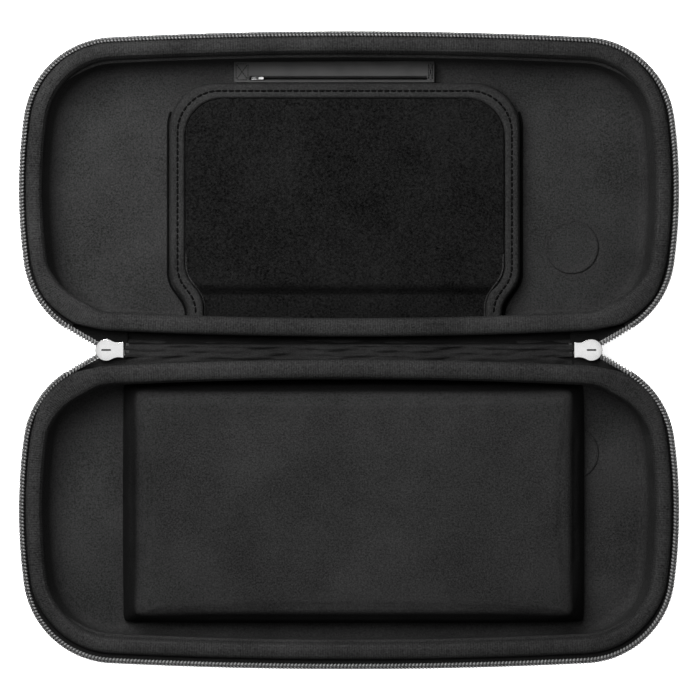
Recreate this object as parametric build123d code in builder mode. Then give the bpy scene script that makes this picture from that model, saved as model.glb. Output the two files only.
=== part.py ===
"""Zipped hard carrying case, lying open and flat.

Two moulded half shells are joined along their long edges by a folding fabric spine. A coil zip runs
round the other edges, with a slider at each end of the spine. The base holds a raised fabric-covered
insert, and the lid has a padded pocket with its own short zip.

X runs along the hinge, +Y points towards the lid and +Z is up. The origin is on the resting surface,
under the middle of the hinge.
"""

from build123d import *
import math
import os

os.makedirs("parts", exist_ok=True)

# Outline of each half at the zip coil: slightly bulging sides and large corners
HALF_WIDTH = 156.0
HALF_DEPTH = 75.0
SIDE_RADIUS = 257.0
LONG_RADIUS = 2250.0
CORNER_RADIUS = 43.5
HALF_CENTRE = 75.75  # from the hinge line to the middle of each half

# Heights above the resting surface
PARTING = 30.0  # half of the shut case's height
RIM_TOP = PARTING - 0.15
SHELL_TOP = 28.8
BEAD_BOTTOM = 23.0  # the shell's rim is a thicker bead above this height
SPINE_HALF_WIDTH = 5.05  # the fold lines lie this far each side of the hinge line
FOLD_HEIGHT = PARTING - SPINE_HALF_WIDTH  # so that the two rims meet when the case is shut

# Shell and liner
DRAFT = 8.0  # degrees
SHELL_INSET = 5.3
SHELL_WALL = 3.0
BEAD_INSET = 10.5
EDGE_RADIUS = 10.0
GLUE_GAP = 0.1
LINER_WALL = 1.0
LINER_FLOOR = SHELL_WALL + GLUE_GAP + LINER_WALL

# Rim binding: a padded strip folded over the bead
BINDING_OUTER = 4.3
BINDING_INNER = 11.5
BINDING_WALL = 0.9
BINDING_ROUND = 2.4
OUTER_LEG_BOTTOM = 25.7
INNER_LEG_BOTTOM = 22.0

# Main zip
TAPE_THICKNESS = 0.6
TAPE_TOP = 29.2
TAPE_TOP_INSET = 2.6
TAPE_BOTTOM = 17.0
TAPE_BOTTOM_INSET = 5.95
COIL_OUTER = 0.15
COIL_WIDTH = 2.3
COIL_TOP = PARTING - 0.15
COIL_HEIGHT = 2.95
COIL_ROUND = 0.8
ZIP_END_X = 127.0  # the coils stop here on the hinge side

# Round badge outside each half, and the disc that covers its fixing inside
DISC_X = 107.2
DISC_FROM_HINGE = 49.5
DISC_RADIUS = 12.9
DISC_THICKNESS = 0.8
BADGE_RADIUS = 12.4
BADGE_THICKNESS = 1.0
BADGE_GAP = 0.2

# Spine
SPINE_LENGTH = 210.0
SPINE_WIDTH = 2 * SPINE_HALF_WIDTH - 0.3
SPINE_TOP = FOLD_HEIGHT - 0.25
SPINE_FABRIC = 0.8
SPINE_BOTTOM = 20.2
HEM_THICKNESS = 0.8
HEM_BOTTOM = 17.0
CHAIN_MIDDLE = 22.4  # height of the closed chain's middle
CHAIN_THICKNESS = 2.2
CHAIN_WIDTH = 5.4
CHAIN_INNER_X = 95.0
CHAIN_OUTER_X = 110.0
STOP_X = 105.0
STOP_LENGTH = 1.4
STOP_WALL = 0.4

# Main sliders
NOSE_X = 115.0
NOSE_RADIUS = 5.3
TAIL_X = 106.6
TAIL_WIDTH = 7.6
PLATE = 1.0
PLATE_ROUND = 0.35
SLIDER_TOP = SPINE_TOP
SLIDER_GAP = 2.6
FLANGE = 0.8
FLANGE_LENGTH = 6.5
POST_X = 117.6
POST_RADIUS = 1.1
BRIDGE_X = 113.6
BRIDGE_LENGTH = 9.0
BRIDGE_WIDTH = 2.0
BRIDGE_HEIGHT = 3.2
BRIDGE_BAR = 1.0
PULL_THICKNESS = 1.2
PULL_WIDTH = 5.0
PULL_LENGTH = 15.2
PULL_EYE_WIDTH = 2.8
PULL_EYE_LENGTH = 4.9

# Insert in the base
INSERT_X = 2.3
INSERT_NEAR = 13.9  # from the hinge line to the foot
INSERT_FAR = 131.5
INSERT_LENGTH = 223.0
INSERT_TOP = 22.0
INSERT_SLOPE = 5.6  # how far each side leans in from foot to top
INSERT_ROUND = 2.5
COVER_WALL = 1.0

# Pocket in the lid
POCKET_X = -2.0
POCKET_FAR = 127.95
POCKET_HALF = 84.0
POCKET_CORNER = 22.0
FRAME_BAND = 7.8
FRAME_TOP = 13.5
FRAME_ROUND = 2.2
BACKING = 0.6
BACKING_TAB = 6.05  # reach of the backing beyond the frame, under the facing
FRAME_BOTTOM = LINER_FLOOR + GLUE_GAP + BACKING + GLUE_GAP
PANEL_TOP = 12.2
PANEL_THICKNESS = 1.2
PANEL_FOLD_Y = 31.0
PANEL_LOW_Y = 15.0
PANEL_LOW = 7.0

# Facing over the pocket's zip
FACING_LEFT = -55.0
FACING_RIGHT = 41.0
FACING_MIDDLE = (FACING_LEFT + FACING_RIGHT) / 2
FACING_NEAR = 128.15
FACING_FAR = 138.6
FACING_TOP = 10.3
FACING_THICKNESS = 0.8
FACING_END = 1.0
SLIT_LEFT = -47.5
SLIT_RIGHT = 37.5
SLIT_MIDDLE = (SLIT_LEFT + SLIT_RIGHT) / 2
SLIT_Y = 130.1
SLIT_WIDTH = 1.9
MOUTH_HEIGHT = 2.5

# Pocket zip
FINE_TAPE = 0.5
FINE_TAPE_TOP = 9.3
FINE_TAPE_FAR = 133.25
FINE_GAP = 0.9
FINE_COIL_WIDTH = 1.0
FINE_COIL_TOP = 8.7
FINE_COIL_HEIGHT = 1.4
FINE_SLIDER_X = -45.3
FINE_SLIDER_LENGTH = 3.4
FINE_PLATE = 0.7
FINE_UPPER_BOTTOM = 9.45
FINE_UPPER_WIDTH = 1.6
FINE_LOWER_TOP = 7.1
FINE_LOWER_WIDTH = 3.6
FINE_POST_WIDTH = 0.6
FINE_BRIDGE_LENGTH = 3.2
FINE_BRIDGE_WIDTH = 0.6
FINE_BRIDGE_HEIGHT = 1.6
FINE_BRIDGE_BAR = 0.4
FINE_PULL_THICKNESS = 0.6
FINE_PULL_WIDTH = 1.6
FINE_PULL_LENGTH = 5.0
FINE_EYE_WIDTH = 1.0
FINE_EYE_LENGTH = 1.8
FINE_AXIS_HEIGHT = 10.75

HALVES = {"base": -1, "lid": 1}
ENDS = {"left": -1, "right": 1}


def wall_inset(height):
    """Inset of the shell's drafted outside from the coil outline, at a height."""
    return SHELL_INSET + (SHELL_TOP - height) * math.tan(math.radians(DRAFT))


def half_outline(inset, centre, height):
    """The rounded outline of one half, drawn in from the coil outline, as a face at a height."""
    with BuildSketch(Plane(origin=(0, centre, height))) as outline:
        for side in (-1, 1):
            with Locations((side * (HALF_WIDTH - SIDE_RADIUS), 0)):
                Circle(SIDE_RADIUS - inset, mode=Mode.ADD if side < 0 else Mode.INTERSECT)
        for side in (-1, 1):
            with Locations((0, side * (HALF_DEPTH - LONG_RADIUS))):
                Circle(LONG_RADIUS - inset, mode=Mode.INTERSECT)
        corners = outline.vertices().filter_by(lambda point: abs(point.X) > 1 and abs(point.Y) > 1)
        fillet(corners, CORNER_RADIUS - inset)
    return outline.sketch


def prism(inset, centre, bottom, top):
    """A straight-sided solid with the half's outline."""
    with BuildPart() as solid:
        extrude(half_outline(inset, centre, bottom), amount=top - bottom, dir=(0, 0, 1))
    return solid.part


def dish(inset, centre, bottom, top, radius):
    """A solid with the half's outline at its top, a drafted side and a rounded bottom edge."""
    with BuildPart() as solid:
        extrude(half_outline(inset, centre, top), amount=top - bottom, dir=(0, 0, -1), taper=DRAFT)
        fillet(solid.faces().sort_by(Axis.Z)[0].edges(), radius)
    return solid.part


def save(part, name):
    """Label a finished piece and write it."""
    part.label = name
    export_step(part, f"parts/{name}.step")


def cavity(centre, clearance):
    """The space inside a liner, less a clearance, up to the bead."""
    inset = wall_inset(BEAD_BOTTOM) + SHELL_WALL + GLUE_GAP + LINER_WALL + clearance
    radius = EDGE_RADIUS - SHELL_WALL - GLUE_GAP - LINER_WALL - clearance
    return dish(inset, centre, LINER_FLOOR + clearance, BEAD_BOTTOM, radius)


def arch(foot, way, size, bar):
    """A slider's bridge: a staple along X with its feet at a point, rising up (1) or down (-1)."""
    length, width, height = size
    with BuildPart() as staple:
        with BuildSketch(Plane(origin=foot, x_dir=(1, 0, 0), z_dir=(0, -1, 0))):
            with Locations((0, way * height / 2)):
                Rectangle(length, height)
            with Locations((0, way * (height - bar) / 2)):
                Rectangle(length - 2 * bar, height - bar, mode=Mode.SUBTRACT)
        extrude(amount=width / 2, both=True)
        far_corners = staple.edges().filter_by(Axis.Y).sort_by(Axis.Z, reverse=way > 0)[:2]
        fillet(far_corners, bar)
    return staple.part


# Shells, liners, bindings and zip halves, the same on both sides of the hinge
for half, side in HALVES.items():
    centre = side * HALF_CENTRE
    disc_spot = (DISC_X, side * DISC_FROM_HINGE)

    inner_inset = wall_inset(BEAD_BOTTOM) + SHELL_WALL
    outer_form = dish(SHELL_INSET, centre, 0, SHELL_TOP, EDGE_RADIUS)
    inner_form = dish(inner_inset, centre, SHELL_WALL, BEAD_BOTTOM, EDGE_RADIUS - SHELL_WALL)
    mouth = prism(BEAD_INSET, centre, BEAD_BOTTOM, SHELL_TOP)
    with BuildPart() as shell:
        add(outer_form)
        add(inner_form, mode=Mode.SUBTRACT)
        add(mouth, mode=Mode.SUBTRACT)
        with BuildSketch(Plane.XY):
            with Locations(disc_spot):
                Circle(BADGE_RADIUS + BADGE_GAP)
        extrude(amount=BADGE_THICKNESS + BADGE_GAP, mode=Mode.SUBTRACT)
    save(shell.part, f"{half}_shell")

    liner_radius = EDGE_RADIUS - SHELL_WALL - GLUE_GAP
    liner_top = BEAD_BOTTOM - GLUE_GAP
    liner_form = dish(inner_inset + GLUE_GAP, centre, SHELL_WALL + GLUE_GAP, liner_top, liner_radius)
    liner_hollow = cavity(centre, 0)
    with BuildPart() as liner:
        add(liner_form)
        add(liner_hollow, mode=Mode.SUBTRACT)
    save(liner.part, f"{half}_liner")

    band = prism(BINDING_OUTER, centre, INNER_LEG_BOTTOM, RIM_TOP)
    band_hole = prism(BINDING_INNER, centre, INNER_LEG_BOTTOM, RIM_TOP)
    bead_room = prism(BINDING_OUTER + BINDING_WALL, centre, INNER_LEG_BOTTOM, SHELL_TOP + GLUE_GAP)
    inner_leg = prism(BINDING_INNER - BINDING_WALL, centre, INNER_LEG_BOTTOM, SHELL_TOP + GLUE_GAP)
    below_leg = prism(0, centre, INNER_LEG_BOTTOM, OUTER_LEG_BOTTOM)
    with BuildPart() as channel:
        add(bead_room)
        add(below_leg)
        add(inner_leg, mode=Mode.SUBTRACT)
    with BuildPart() as binding:
        add(band)
        add(band_hole, mode=Mode.SUBTRACT)
        fillet(binding.faces().sort_by(Axis.Z)[-1].edges(), BINDING_ROUND)
        add(channel.part, mode=Mode.SUBTRACT)
    save(binding.part, f"{half}_rim_binding")

    with BuildPart() as hinge_side:
        with Locations((0, -side * HALF_DEPTH / 2 + centre, RIM_TOP / 2)):
            Box(2 * ZIP_END_X, HALF_DEPTH, 2 * RIM_TOP)

    tape_outer = loft([
        half_outline(TAPE_BOTTOM_INSET, centre, TAPE_BOTTOM),
        half_outline(TAPE_TOP_INSET, centre, TAPE_TOP),
    ])
    tape_inner = loft([
        half_outline(TAPE_BOTTOM_INSET + TAPE_THICKNESS, centre, TAPE_BOTTOM),
        half_outline(TAPE_TOP_INSET + TAPE_THICKNESS, centre, TAPE_TOP),
    ])
    with BuildPart() as zip_tape:
        add(tape_outer)
        add(tape_inner, mode=Mode.SUBTRACT)
        add(hinge_side.part, mode=Mode.SUBTRACT)
    save(zip_tape.part, f"{half}_zip_tape")

    coil_form = prism(COIL_OUTER, centre, COIL_TOP - COIL_HEIGHT, COIL_TOP)
    coil_hole = prism(COIL_OUTER + COIL_WIDTH, centre, COIL_TOP - COIL_HEIGHT, COIL_TOP)
    with BuildPart() as zip_coil:
        add(coil_form)
        fillet(zip_coil.faces().filter_by(Axis.Z).edges(), COIL_ROUND)
        add(coil_hole, mode=Mode.SUBTRACT)
        add(hinge_side.part, mode=Mode.SUBTRACT)
    save(zip_coil.part, f"{half}_zip_coil")

    with BuildPart() as hinge_hem:
        hem_middle = side * (SPINE_HALF_WIDTH + GLUE_GAP + HEM_THICKNESS / 2)
        with Locations((0, hem_middle, (HEM_BOTTOM + SPINE_TOP) / 2)):
            Box(SPINE_LENGTH, HEM_THICKNESS, SPINE_TOP - HEM_BOTTOM)
    save(hinge_hem.part, f"{half}_hinge_hem")

    with BuildPart() as badge:
        with BuildSketch(Plane.XY.offset(BADGE_GAP)):
            with Locations(disc_spot):
                Circle(BADGE_RADIUS)
        extrude(amount=BADGE_THICKNESS - BADGE_GAP / 2)
        fillet(badge.faces().sort_by(Axis.Z)[0].edges(), BADGE_THICKNESS / 3)
    save(badge.part, f"{half}_badge")

    with BuildPart() as disc:
        with BuildSketch(Plane.XY.offset(LINER_FLOOR + GLUE_GAP)):
            with Locations(disc_spot):
                Circle(DISC_RADIUS)
        extrude(amount=DISC_THICKNESS)
        fillet(disc.faces().sort_by(Axis.Z)[-1].edges(), DISC_THICKNESS / 2)
    save(disc.part, f"{half}_disc")


# Insert: a foam block in a fabric cover, bonded to the base liner over half of the disc
def insert_form(skin):
    """The insert's outside, or the same drawn in by a skin all round."""
    foot = LINER_FLOOR + GLUE_GAP + skin
    length = INSERT_LENGTH - 2 * skin
    width = INSERT_FAR - INSERT_NEAR - 2 * skin
    middle = -(INSERT_NEAR + INSERT_FAR) / 2
    with BuildPart() as solid:
        with BuildSketch(Plane(origin=(INSERT_X, middle, foot))):
            Rectangle(length, width)
        with BuildSketch(Plane(origin=(INSERT_X, middle, INSERT_TOP - skin))):
            Rectangle(length - 2 * INSERT_SLOPE, width - 2 * INSERT_SLOPE)
        loft()
        fillet(solid.edges().filter_by(Plane.XY, reverse=True), INSERT_ROUND)
        fillet(solid.faces().sort_by(Axis.Z)[-1].edges(), INSERT_ROUND)
    return solid.part


base_centre = -HALF_CENTRE
insert_outside = insert_form(0)
insert_inside = insert_form(COVER_WALL)
insert_core = insert_form(COVER_WALL + GLUE_GAP)
cover_room = cavity(base_centre, GLUE_GAP)
cover_hollow_room = cavity(base_centre, GLUE_GAP + COVER_WALL)
core_room = cavity(base_centre, 2 * GLUE_GAP + COVER_WALL)
base_disc_plane = Plane(origin=(DISC_X, -DISC_FROM_HINGE, LINER_FLOOR))

with BuildPart() as cover_hollow:
    add(insert_inside)
    add(cover_hollow_room, mode=Mode.INTERSECT)
with BuildPart() as insert_cover:
    add(insert_outside)
    add(cover_room, mode=Mode.INTERSECT)
    add(cover_hollow.part, mode=Mode.SUBTRACT)
    with BuildSketch(base_disc_plane):
        Circle(DISC_RADIUS + GLUE_GAP)
    extrude(amount=DISC_THICKNESS + 2 * GLUE_GAP, mode=Mode.SUBTRACT)
save(insert_cover.part, "insert_cover")

with BuildPart() as insert_foam:
    add(insert_core)
    add(core_room, mode=Mode.INTERSECT)
save(insert_foam.part, "insert_foam")


# Pocket: padded frame, plush panel and backing, with legs that bend in towards the hinge
def pocket_outline(inset, height):
    """The pocket's outline drawn in by an inset, open-footed at the hinge side, as a face."""
    half = POCKET_HALF - inset
    waist = inset * math.tan(math.radians(22.5))
    bend = [
        (half, 33.0 + waist),
        (half - 8.7, 21.5 + waist),
        (half - 8.7, 0.0),
    ]
    points = [(half, POCKET_FAR - inset)] + bend
    mirrored = [(-x, y) for x, y in reversed(points)]
    with BuildSketch(Plane(origin=(POCKET_X, 0, height))) as outline:
        with BuildLine():
            Polyline(points + mirrored, close=True)
        make_face()
        top = outline.vertices().filter_by(lambda point: point.Y > POCKET_FAR / 2)
        fillet(top, POCKET_CORNER - inset / 2)
        waist_points = outline.vertices().filter_by(lambda point: 1 < point.Y < POCKET_FAR / 2)
        fillet(waist_points, 5.0)
    return outline.sketch


lid_centre = HALF_CENTRE
lid_room = cavity(lid_centre, GLUE_GAP)

with BuildPart() as frame_opening:
    extrude(pocket_outline(FRAME_BAND, 0), amount=RIM_TOP, dir=(0, 0, 1))
with BuildPart() as pocket_frame:
    extrude(pocket_outline(0, FRAME_BOTTOM), amount=FRAME_TOP - FRAME_BOTTOM, dir=(0, 0, 1))
    fillet(pocket_frame.faces().sort_by(Axis.Z)[-1].edges(), FRAME_ROUND)
    add(frame_opening.part, mode=Mode.SUBTRACT)
    add(lid_room, mode=Mode.INTERSECT)
    with Locations((SLIT_MIDDLE, POCKET_FAR - FRAME_BAND / 2, FRAME_BOTTOM + MOUTH_HEIGHT / 2)):
        Box(SLIT_RIGHT - SLIT_LEFT, 2 * FRAME_BAND, MOUTH_HEIGHT, mode=Mode.SUBTRACT)
save(pocket_frame.part, "pocket_frame")

with BuildPart() as panel_opening:
    extrude(pocket_outline(FRAME_BAND + 2 * GLUE_GAP, 0), amount=RIM_TOP, dir=(0, 0, 1))
with BuildPart() as pocket_panel:
    with BuildSketch(Plane.YZ.offset(POCKET_X - POCKET_HALF)):
        with BuildLine():
            Polyline(
                (POCKET_FAR, PANEL_TOP),
                (PANEL_FOLD_Y, PANEL_TOP),
                (PANEL_LOW_Y, PANEL_LOW),
                (PANEL_LOW_Y, PANEL_LOW - PANEL_THICKNESS),
                (PANEL_FOLD_Y, PANEL_TOP - PANEL_THICKNESS),
                (POCKET_FAR, PANEL_TOP - PANEL_THICKNESS),
                close=True,
            )
        make_face()
    extrude(amount=2 * POCKET_HALF)
    add(panel_opening.part, mode=Mode.INTERSECT)
    add(lid_room, mode=Mode.INTERSECT)
save(pocket_panel.part, "pocket_panel")

with BuildPart() as pocket_backing:
    extrude(pocket_outline(0.5, LINER_FLOOR + GLUE_GAP), amount=BACKING, dir=(0, 0, 1))
    with Locations((FACING_MIDDLE, POCKET_FAR, LINER_FLOOR + GLUE_GAP + BACKING / 2)):
        Box(FACING_RIGHT - FACING_LEFT - 3 * FACING_END, 2 * BACKING_TAB, BACKING)
    add(lid_room, mode=Mode.INTERSECT)
save(pocket_backing.part, "pocket_backing")

with BuildPart() as zip_facing:
    facing_width = FACING_RIGHT - FACING_LEFT
    facing_depth = FACING_FAR - FACING_NEAR
    with BuildSketch(Plane.XY.offset(FRAME_BOTTOM)):
        with Locations((FACING_MIDDLE, FACING_NEAR + facing_depth / 2)):
            Rectangle(facing_width, facing_depth)
            Rectangle(facing_width - 2 * FACING_END, facing_depth, mode=Mode.SUBTRACT)
    extrude(amount=FACING_TOP - FRAME_BOTTOM)
    with BuildSketch(Plane.XY.offset(FACING_TOP - FACING_THICKNESS)):
        with Locations((FACING_MIDDLE, FACING_NEAR + facing_depth / 2)):
            Rectangle(facing_width, facing_depth)
        with Locations((SLIT_MIDDLE, SLIT_Y)):
            Rectangle(SLIT_RIGHT - SLIT_LEFT, SLIT_WIDTH, mode=Mode.SUBTRACT)
    extrude(amount=FACING_THICKNESS)
    add(lid_room, mode=Mode.INTERSECT)
save(zip_facing.part, "pocket_zip_facing")

# Pocket zip: two tapes with a reversed coil under each, and a gap between them for the slider's post
FINE_ROWS = {
    "tape": (FINE_TAPE_TOP, FINE_TAPE, FACING_NEAR + GLUE_GAP, FINE_TAPE_FAR),
    "coil": (
        FINE_COIL_TOP,
        FINE_COIL_HEIGHT,
        SLIT_Y - FINE_GAP / 2 - FINE_COIL_WIDTH,
        SLIT_Y + FINE_GAP / 2 + FINE_COIL_WIDTH,
    ),
}
row_length = FACING_RIGHT - FACING_LEFT - 2 * (FACING_END + GLUE_GAP)
for name, (row_top, row_height, near, far) in FINE_ROWS.items():
    with BuildPart() as rows:
        with BuildSketch(Plane.XY.offset(row_top - row_height)):
            with Locations((FACING_MIDDLE, (near + far) / 2)):
                Rectangle(row_length, far - near)
            with Locations((FACING_MIDDLE, SLIT_Y)):
                Rectangle(row_length, FINE_GAP, mode=Mode.SUBTRACT)
        extrude(amount=row_height)
    save(rows.part, f"pocket_zip_{name}")

with BuildPart() as fine_body:
    with BuildSketch(Plane.XY.offset(FINE_LOWER_TOP - FINE_PLATE)):
        with Locations((FINE_SLIDER_X, SLIT_Y)):
            SlotOverall(FINE_SLIDER_LENGTH + FINE_UPPER_WIDTH, FINE_LOWER_WIDTH)
    extrude(amount=FINE_PLATE)
    with BuildSketch(Plane.XY.offset(FINE_LOWER_TOP)):
        with Locations((FINE_SLIDER_X, SLIT_Y)):
            Rectangle(FINE_SLIDER_LENGTH / 2, FINE_POST_WIDTH)
    extrude(amount=FINE_UPPER_BOTTOM - FINE_LOWER_TOP)
    with BuildSketch(Plane.XY.offset(FINE_UPPER_BOTTOM)):
        with Locations((FINE_SLIDER_X, SLIT_Y)):
            SlotOverall(FINE_SLIDER_LENGTH, FINE_UPPER_WIDTH)
    extrude(amount=FINE_PLATE)
save(fine_body.part, "pocket_slider_body")

fine_arch = arch(
    (FINE_SLIDER_X, SLIT_Y, FINE_UPPER_BOTTOM + FINE_PLATE),
    1,
    (FINE_BRIDGE_LENGTH, FINE_BRIDGE_WIDTH, FINE_BRIDGE_HEIGHT),
    FINE_BRIDGE_BAR,
)
save(fine_arch, "pocket_slider_bridge")

with BuildPart() as fine_pull:
    with BuildSketch(Plane.XY.offset(FINE_AXIS_HEIGHT - FINE_PULL_THICKNESS / 2)):
        pull_start = FINE_SLIDER_X - FINE_PULL_THICKNESS / 2
        with Locations((pull_start + FINE_PULL_LENGTH / 2, SLIT_Y)):
            RectangleRounded(FINE_PULL_LENGTH, FINE_PULL_WIDTH, FINE_PULL_WIDTH / 4)
        with Locations((pull_start + FINE_PULL_THICKNESS + FINE_EYE_LENGTH / 2, SLIT_Y)):
            Rectangle(FINE_EYE_LENGTH, FINE_EYE_WIDTH, mode=Mode.SUBTRACT)
    extrude(amount=FINE_PULL_THICKNESS)
save(fine_pull.part, "pocket_pull")

# Spine: lining inside, woven fabric outside, and a core between them
spine_layers = {
    "spine_lining": (SPINE_TOP - SPINE_FABRIC, SPINE_FABRIC, SPINE_LENGTH),
    "spine_core": (CHAIN_MIDDLE - CHAIN_THICKNESS / 2, CHAIN_THICKNESS, 2 * CHAIN_INNER_X - 1),
    "spine_outer": (SPINE_BOTTOM, SPINE_FABRIC, SPINE_LENGTH),
}
for name, (bottom, thickness, length) in spine_layers.items():
    with BuildPart() as layer:
        with BuildSketch(Plane.XY.offset(bottom)):
            Rectangle(length, SPINE_WIDTH)
        extrude(amount=thickness)
    save(layer.part, name)

# Closed chain ends, their stops, and the sliders, mirrored left and right
for end, side in ENDS.items():
    with BuildPart() as chain_tail:
        with BuildSketch(Plane.XY.offset(CHAIN_MIDDLE - CHAIN_THICKNESS / 2)):
            with Locations((side * (CHAIN_INNER_X + CHAIN_OUTER_X) / 2, 0)):
                Rectangle(CHAIN_OUTER_X - CHAIN_INNER_X, CHAIN_WIDTH)
        extrude(amount=CHAIN_THICKNESS)
    save(chain_tail.part, f"chain_tail_{end}")

    with BuildPart() as end_stop:
        with BuildSketch(Plane.YZ.offset(side * STOP_X - STOP_LENGTH / 2)):
            with Locations((0, CHAIN_MIDDLE)):
                Rectangle(CHAIN_WIDTH + 3 * STOP_WALL, CHAIN_THICKNESS + STOP_WALL)
                Rectangle(CHAIN_WIDTH + STOP_WALL / 2, CHAIN_THICKNESS + STOP_WALL / 8, mode=Mode.SUBTRACT)
        extrude(amount=STOP_LENGTH)
    save(end_stop.part, f"zip_stop_{end}")

    nose = (side * NOSE_X, 0)
    tail_middle = (side * (NOSE_X + TAIL_X) / 2, 0)
    slider_bottom = SLIDER_TOP - 2 * PLATE - SLIDER_GAP
    with BuildPart() as slider:
        for height in (SLIDER_TOP - PLATE, slider_bottom):
            with BuildSketch(Plane.XY.offset(height)):
                with Locations(nose):
                    Circle(NOSE_RADIUS)
                with Locations(tail_middle):
                    Rectangle(NOSE_X - TAIL_X, TAIL_WIDTH)
            extrude(amount=PLATE)
        fillet(slider.faces().sort_by(Axis.Z)[-1].edges(), PLATE_ROUND)
        with BuildSketch(Plane.XY.offset(SLIDER_TOP - PLATE - SLIDER_GAP)):
            for edge in (-1, 1):
                with Locations((side * (TAIL_X + FLANGE_LENGTH / 2), edge * (TAIL_WIDTH - FLANGE) / 2)):
                    Rectangle(FLANGE_LENGTH, FLANGE)
            with Locations((side * POST_X, 0)):
                Circle(POST_RADIUS)
        extrude(amount=SLIDER_GAP)
    save(slider.part, f"slider_body_{end}")

    bridge = arch(
        (side * BRIDGE_X, 0, slider_bottom),
        -1,
        (BRIDGE_LENGTH, BRIDGE_WIDTH, BRIDGE_HEIGHT),
        BRIDGE_BAR,
    )
    save(bridge, f"slider_bridge_{end}")

    pull_top = slider_bottom - (BRIDGE_HEIGHT - BRIDGE_BAR - PULL_THICKNESS) / 2
    with BuildPart() as pull:
        with BuildSketch(Plane.YZ.offset(side * BRIDGE_X - PULL_THICKNESS / 2)):
            with Locations((0, pull_top - PULL_LENGTH / 2)):
                RectangleRounded(PULL_WIDTH, PULL_LENGTH, PULL_WIDTH / 4)
            with Locations((0, pull_top - PULL_THICKNESS - PULL_EYE_LENGTH / 2)):
                Rectangle(PULL_EYE_WIDTH, PULL_EYE_LENGTH, mode=Mode.SUBTRACT)
        extrude(amount=PULL_THICKNESS)
    save(pull.part, f"slider_pull_{end}")
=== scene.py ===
"""Zipped hard carrying case, open and flat: the visual model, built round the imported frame.

Lengths are in metres. Tables of plain numbers are in millimetres, and MM scales them where they are used.
Inside a half, u runs along the hinge and v runs from the hinge outwards, both from the half's own middle;
side is -1 for the base and 1 for the lid.
"""

import bmesh
import bpy
import math
import numpy as np
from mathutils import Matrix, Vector
from mathutils.bvhtree import BVHTree


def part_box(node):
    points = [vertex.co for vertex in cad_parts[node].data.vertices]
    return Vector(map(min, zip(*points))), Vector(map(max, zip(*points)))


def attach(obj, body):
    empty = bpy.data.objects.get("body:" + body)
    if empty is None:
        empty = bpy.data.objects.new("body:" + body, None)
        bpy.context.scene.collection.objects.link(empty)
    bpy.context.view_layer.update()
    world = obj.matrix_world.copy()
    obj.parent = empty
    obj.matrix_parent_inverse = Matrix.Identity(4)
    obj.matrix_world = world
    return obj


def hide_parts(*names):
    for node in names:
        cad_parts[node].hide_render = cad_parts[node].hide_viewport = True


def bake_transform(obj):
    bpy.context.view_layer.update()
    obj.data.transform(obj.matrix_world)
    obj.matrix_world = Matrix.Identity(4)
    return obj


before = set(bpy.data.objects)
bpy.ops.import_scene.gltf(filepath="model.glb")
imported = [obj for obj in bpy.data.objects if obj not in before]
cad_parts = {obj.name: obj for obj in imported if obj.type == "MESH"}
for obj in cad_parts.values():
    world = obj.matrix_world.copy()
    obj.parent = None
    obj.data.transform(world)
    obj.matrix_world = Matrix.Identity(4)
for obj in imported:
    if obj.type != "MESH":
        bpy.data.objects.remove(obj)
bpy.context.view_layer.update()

MM = 0.001
SIDES = {"base": -1, "lid": 1}
ENDS = {"left": -1, "right": 1}

# Outline of each half at the zip coil
HALF_WIDTH = 156.0 * MM
HALF_DEPTH = 75.0 * MM
SIDE_RADIUS = 257.0 * MM
LONG_RADIUS = 2250.0 * MM
CORNER_RADIUS = 43.5 * MM
HALF_CENTRE = 75.75 * MM

# Heights and walls, from the frame where it has them
SHELL_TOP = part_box("base_shell")[1].z
LEG_BOTTOM, RIM_TOP = (corner.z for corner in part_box("base_rim_binding"))
LINER_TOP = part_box("base_liner")[1].z
COIL_LOW, COIL_HIGH = (corner.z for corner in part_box("base_zip_coil"))
DRAFT = math.radians(8)
SHELL_INSET = 5.3 * MM
SHELL_WALL = 3.0 * MM
LINER_INSET = 4.1 * MM  # from the shell's outside to the liner's inside
LINER_FLOOR = 4.1 * MM
EDGE_RADIUS = 10.0 * MM

# Main zip
PITCH = 1.69 * MM
COIL_INSET = 1.15 * MM
COIL_MIDDLE = (COIL_LOW + COIL_HIGH) / 2
STRAND = 0.42 * MM
COIL_REACH = (COIL_HIGH - COIL_LOW) / 2 - STRAND  # from the coil's middle to the strand's at a head
COIL_HALF_THICK = 1.0 * MM
COIL_HALF_IN_SLIDER = 0.75 * MM
COIL_DENT = 0.5 * MM
TURN_STEPS = 14
STRAND_SIDES = 6
COIL_LEAVES = 134.0 * MM  # the coil leaves the outline here and turns down to the slider
CHAIN_MIDDLE = sum(corner.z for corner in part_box("chain_tail_left")) / 2
CHAIN_END = 101.0 * MM
TAPE_LAP = 2.5 * MM  # the straight tape's overlap with its turned-down ends
CHAIN_ROW = 1.3 * MM
POST_X = 117.6 * MM
TAPE_THICK = 0.5 * MM
CORD_HALF = 1.15 * MM
CORD_RISE = 0.6 * MM
CORD_Z = COIL_MIDDLE - 0.15 * MM
RUN_IN_STEPS = 60  # points on the curve from the outline to the slider's mouth


# ---------------------------------------------------------------- outline of a half

def unit(vectors):
    """Vectors made one long along the last axis."""
    return vectors / np.linalg.norm(vectors, axis=-1, keepdims=True)


def distances_along(line):
    """How far each point of a line is from its start, along it."""
    return np.concatenate([[0], np.cumsum(np.linalg.norm(np.diff(line, axis=0), axis=1))])


def raised(flat, z):
    """Points (x, y) given a height."""
    return np.concatenate([flat, np.full((len(flat), 1), z)], axis=1)


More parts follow.
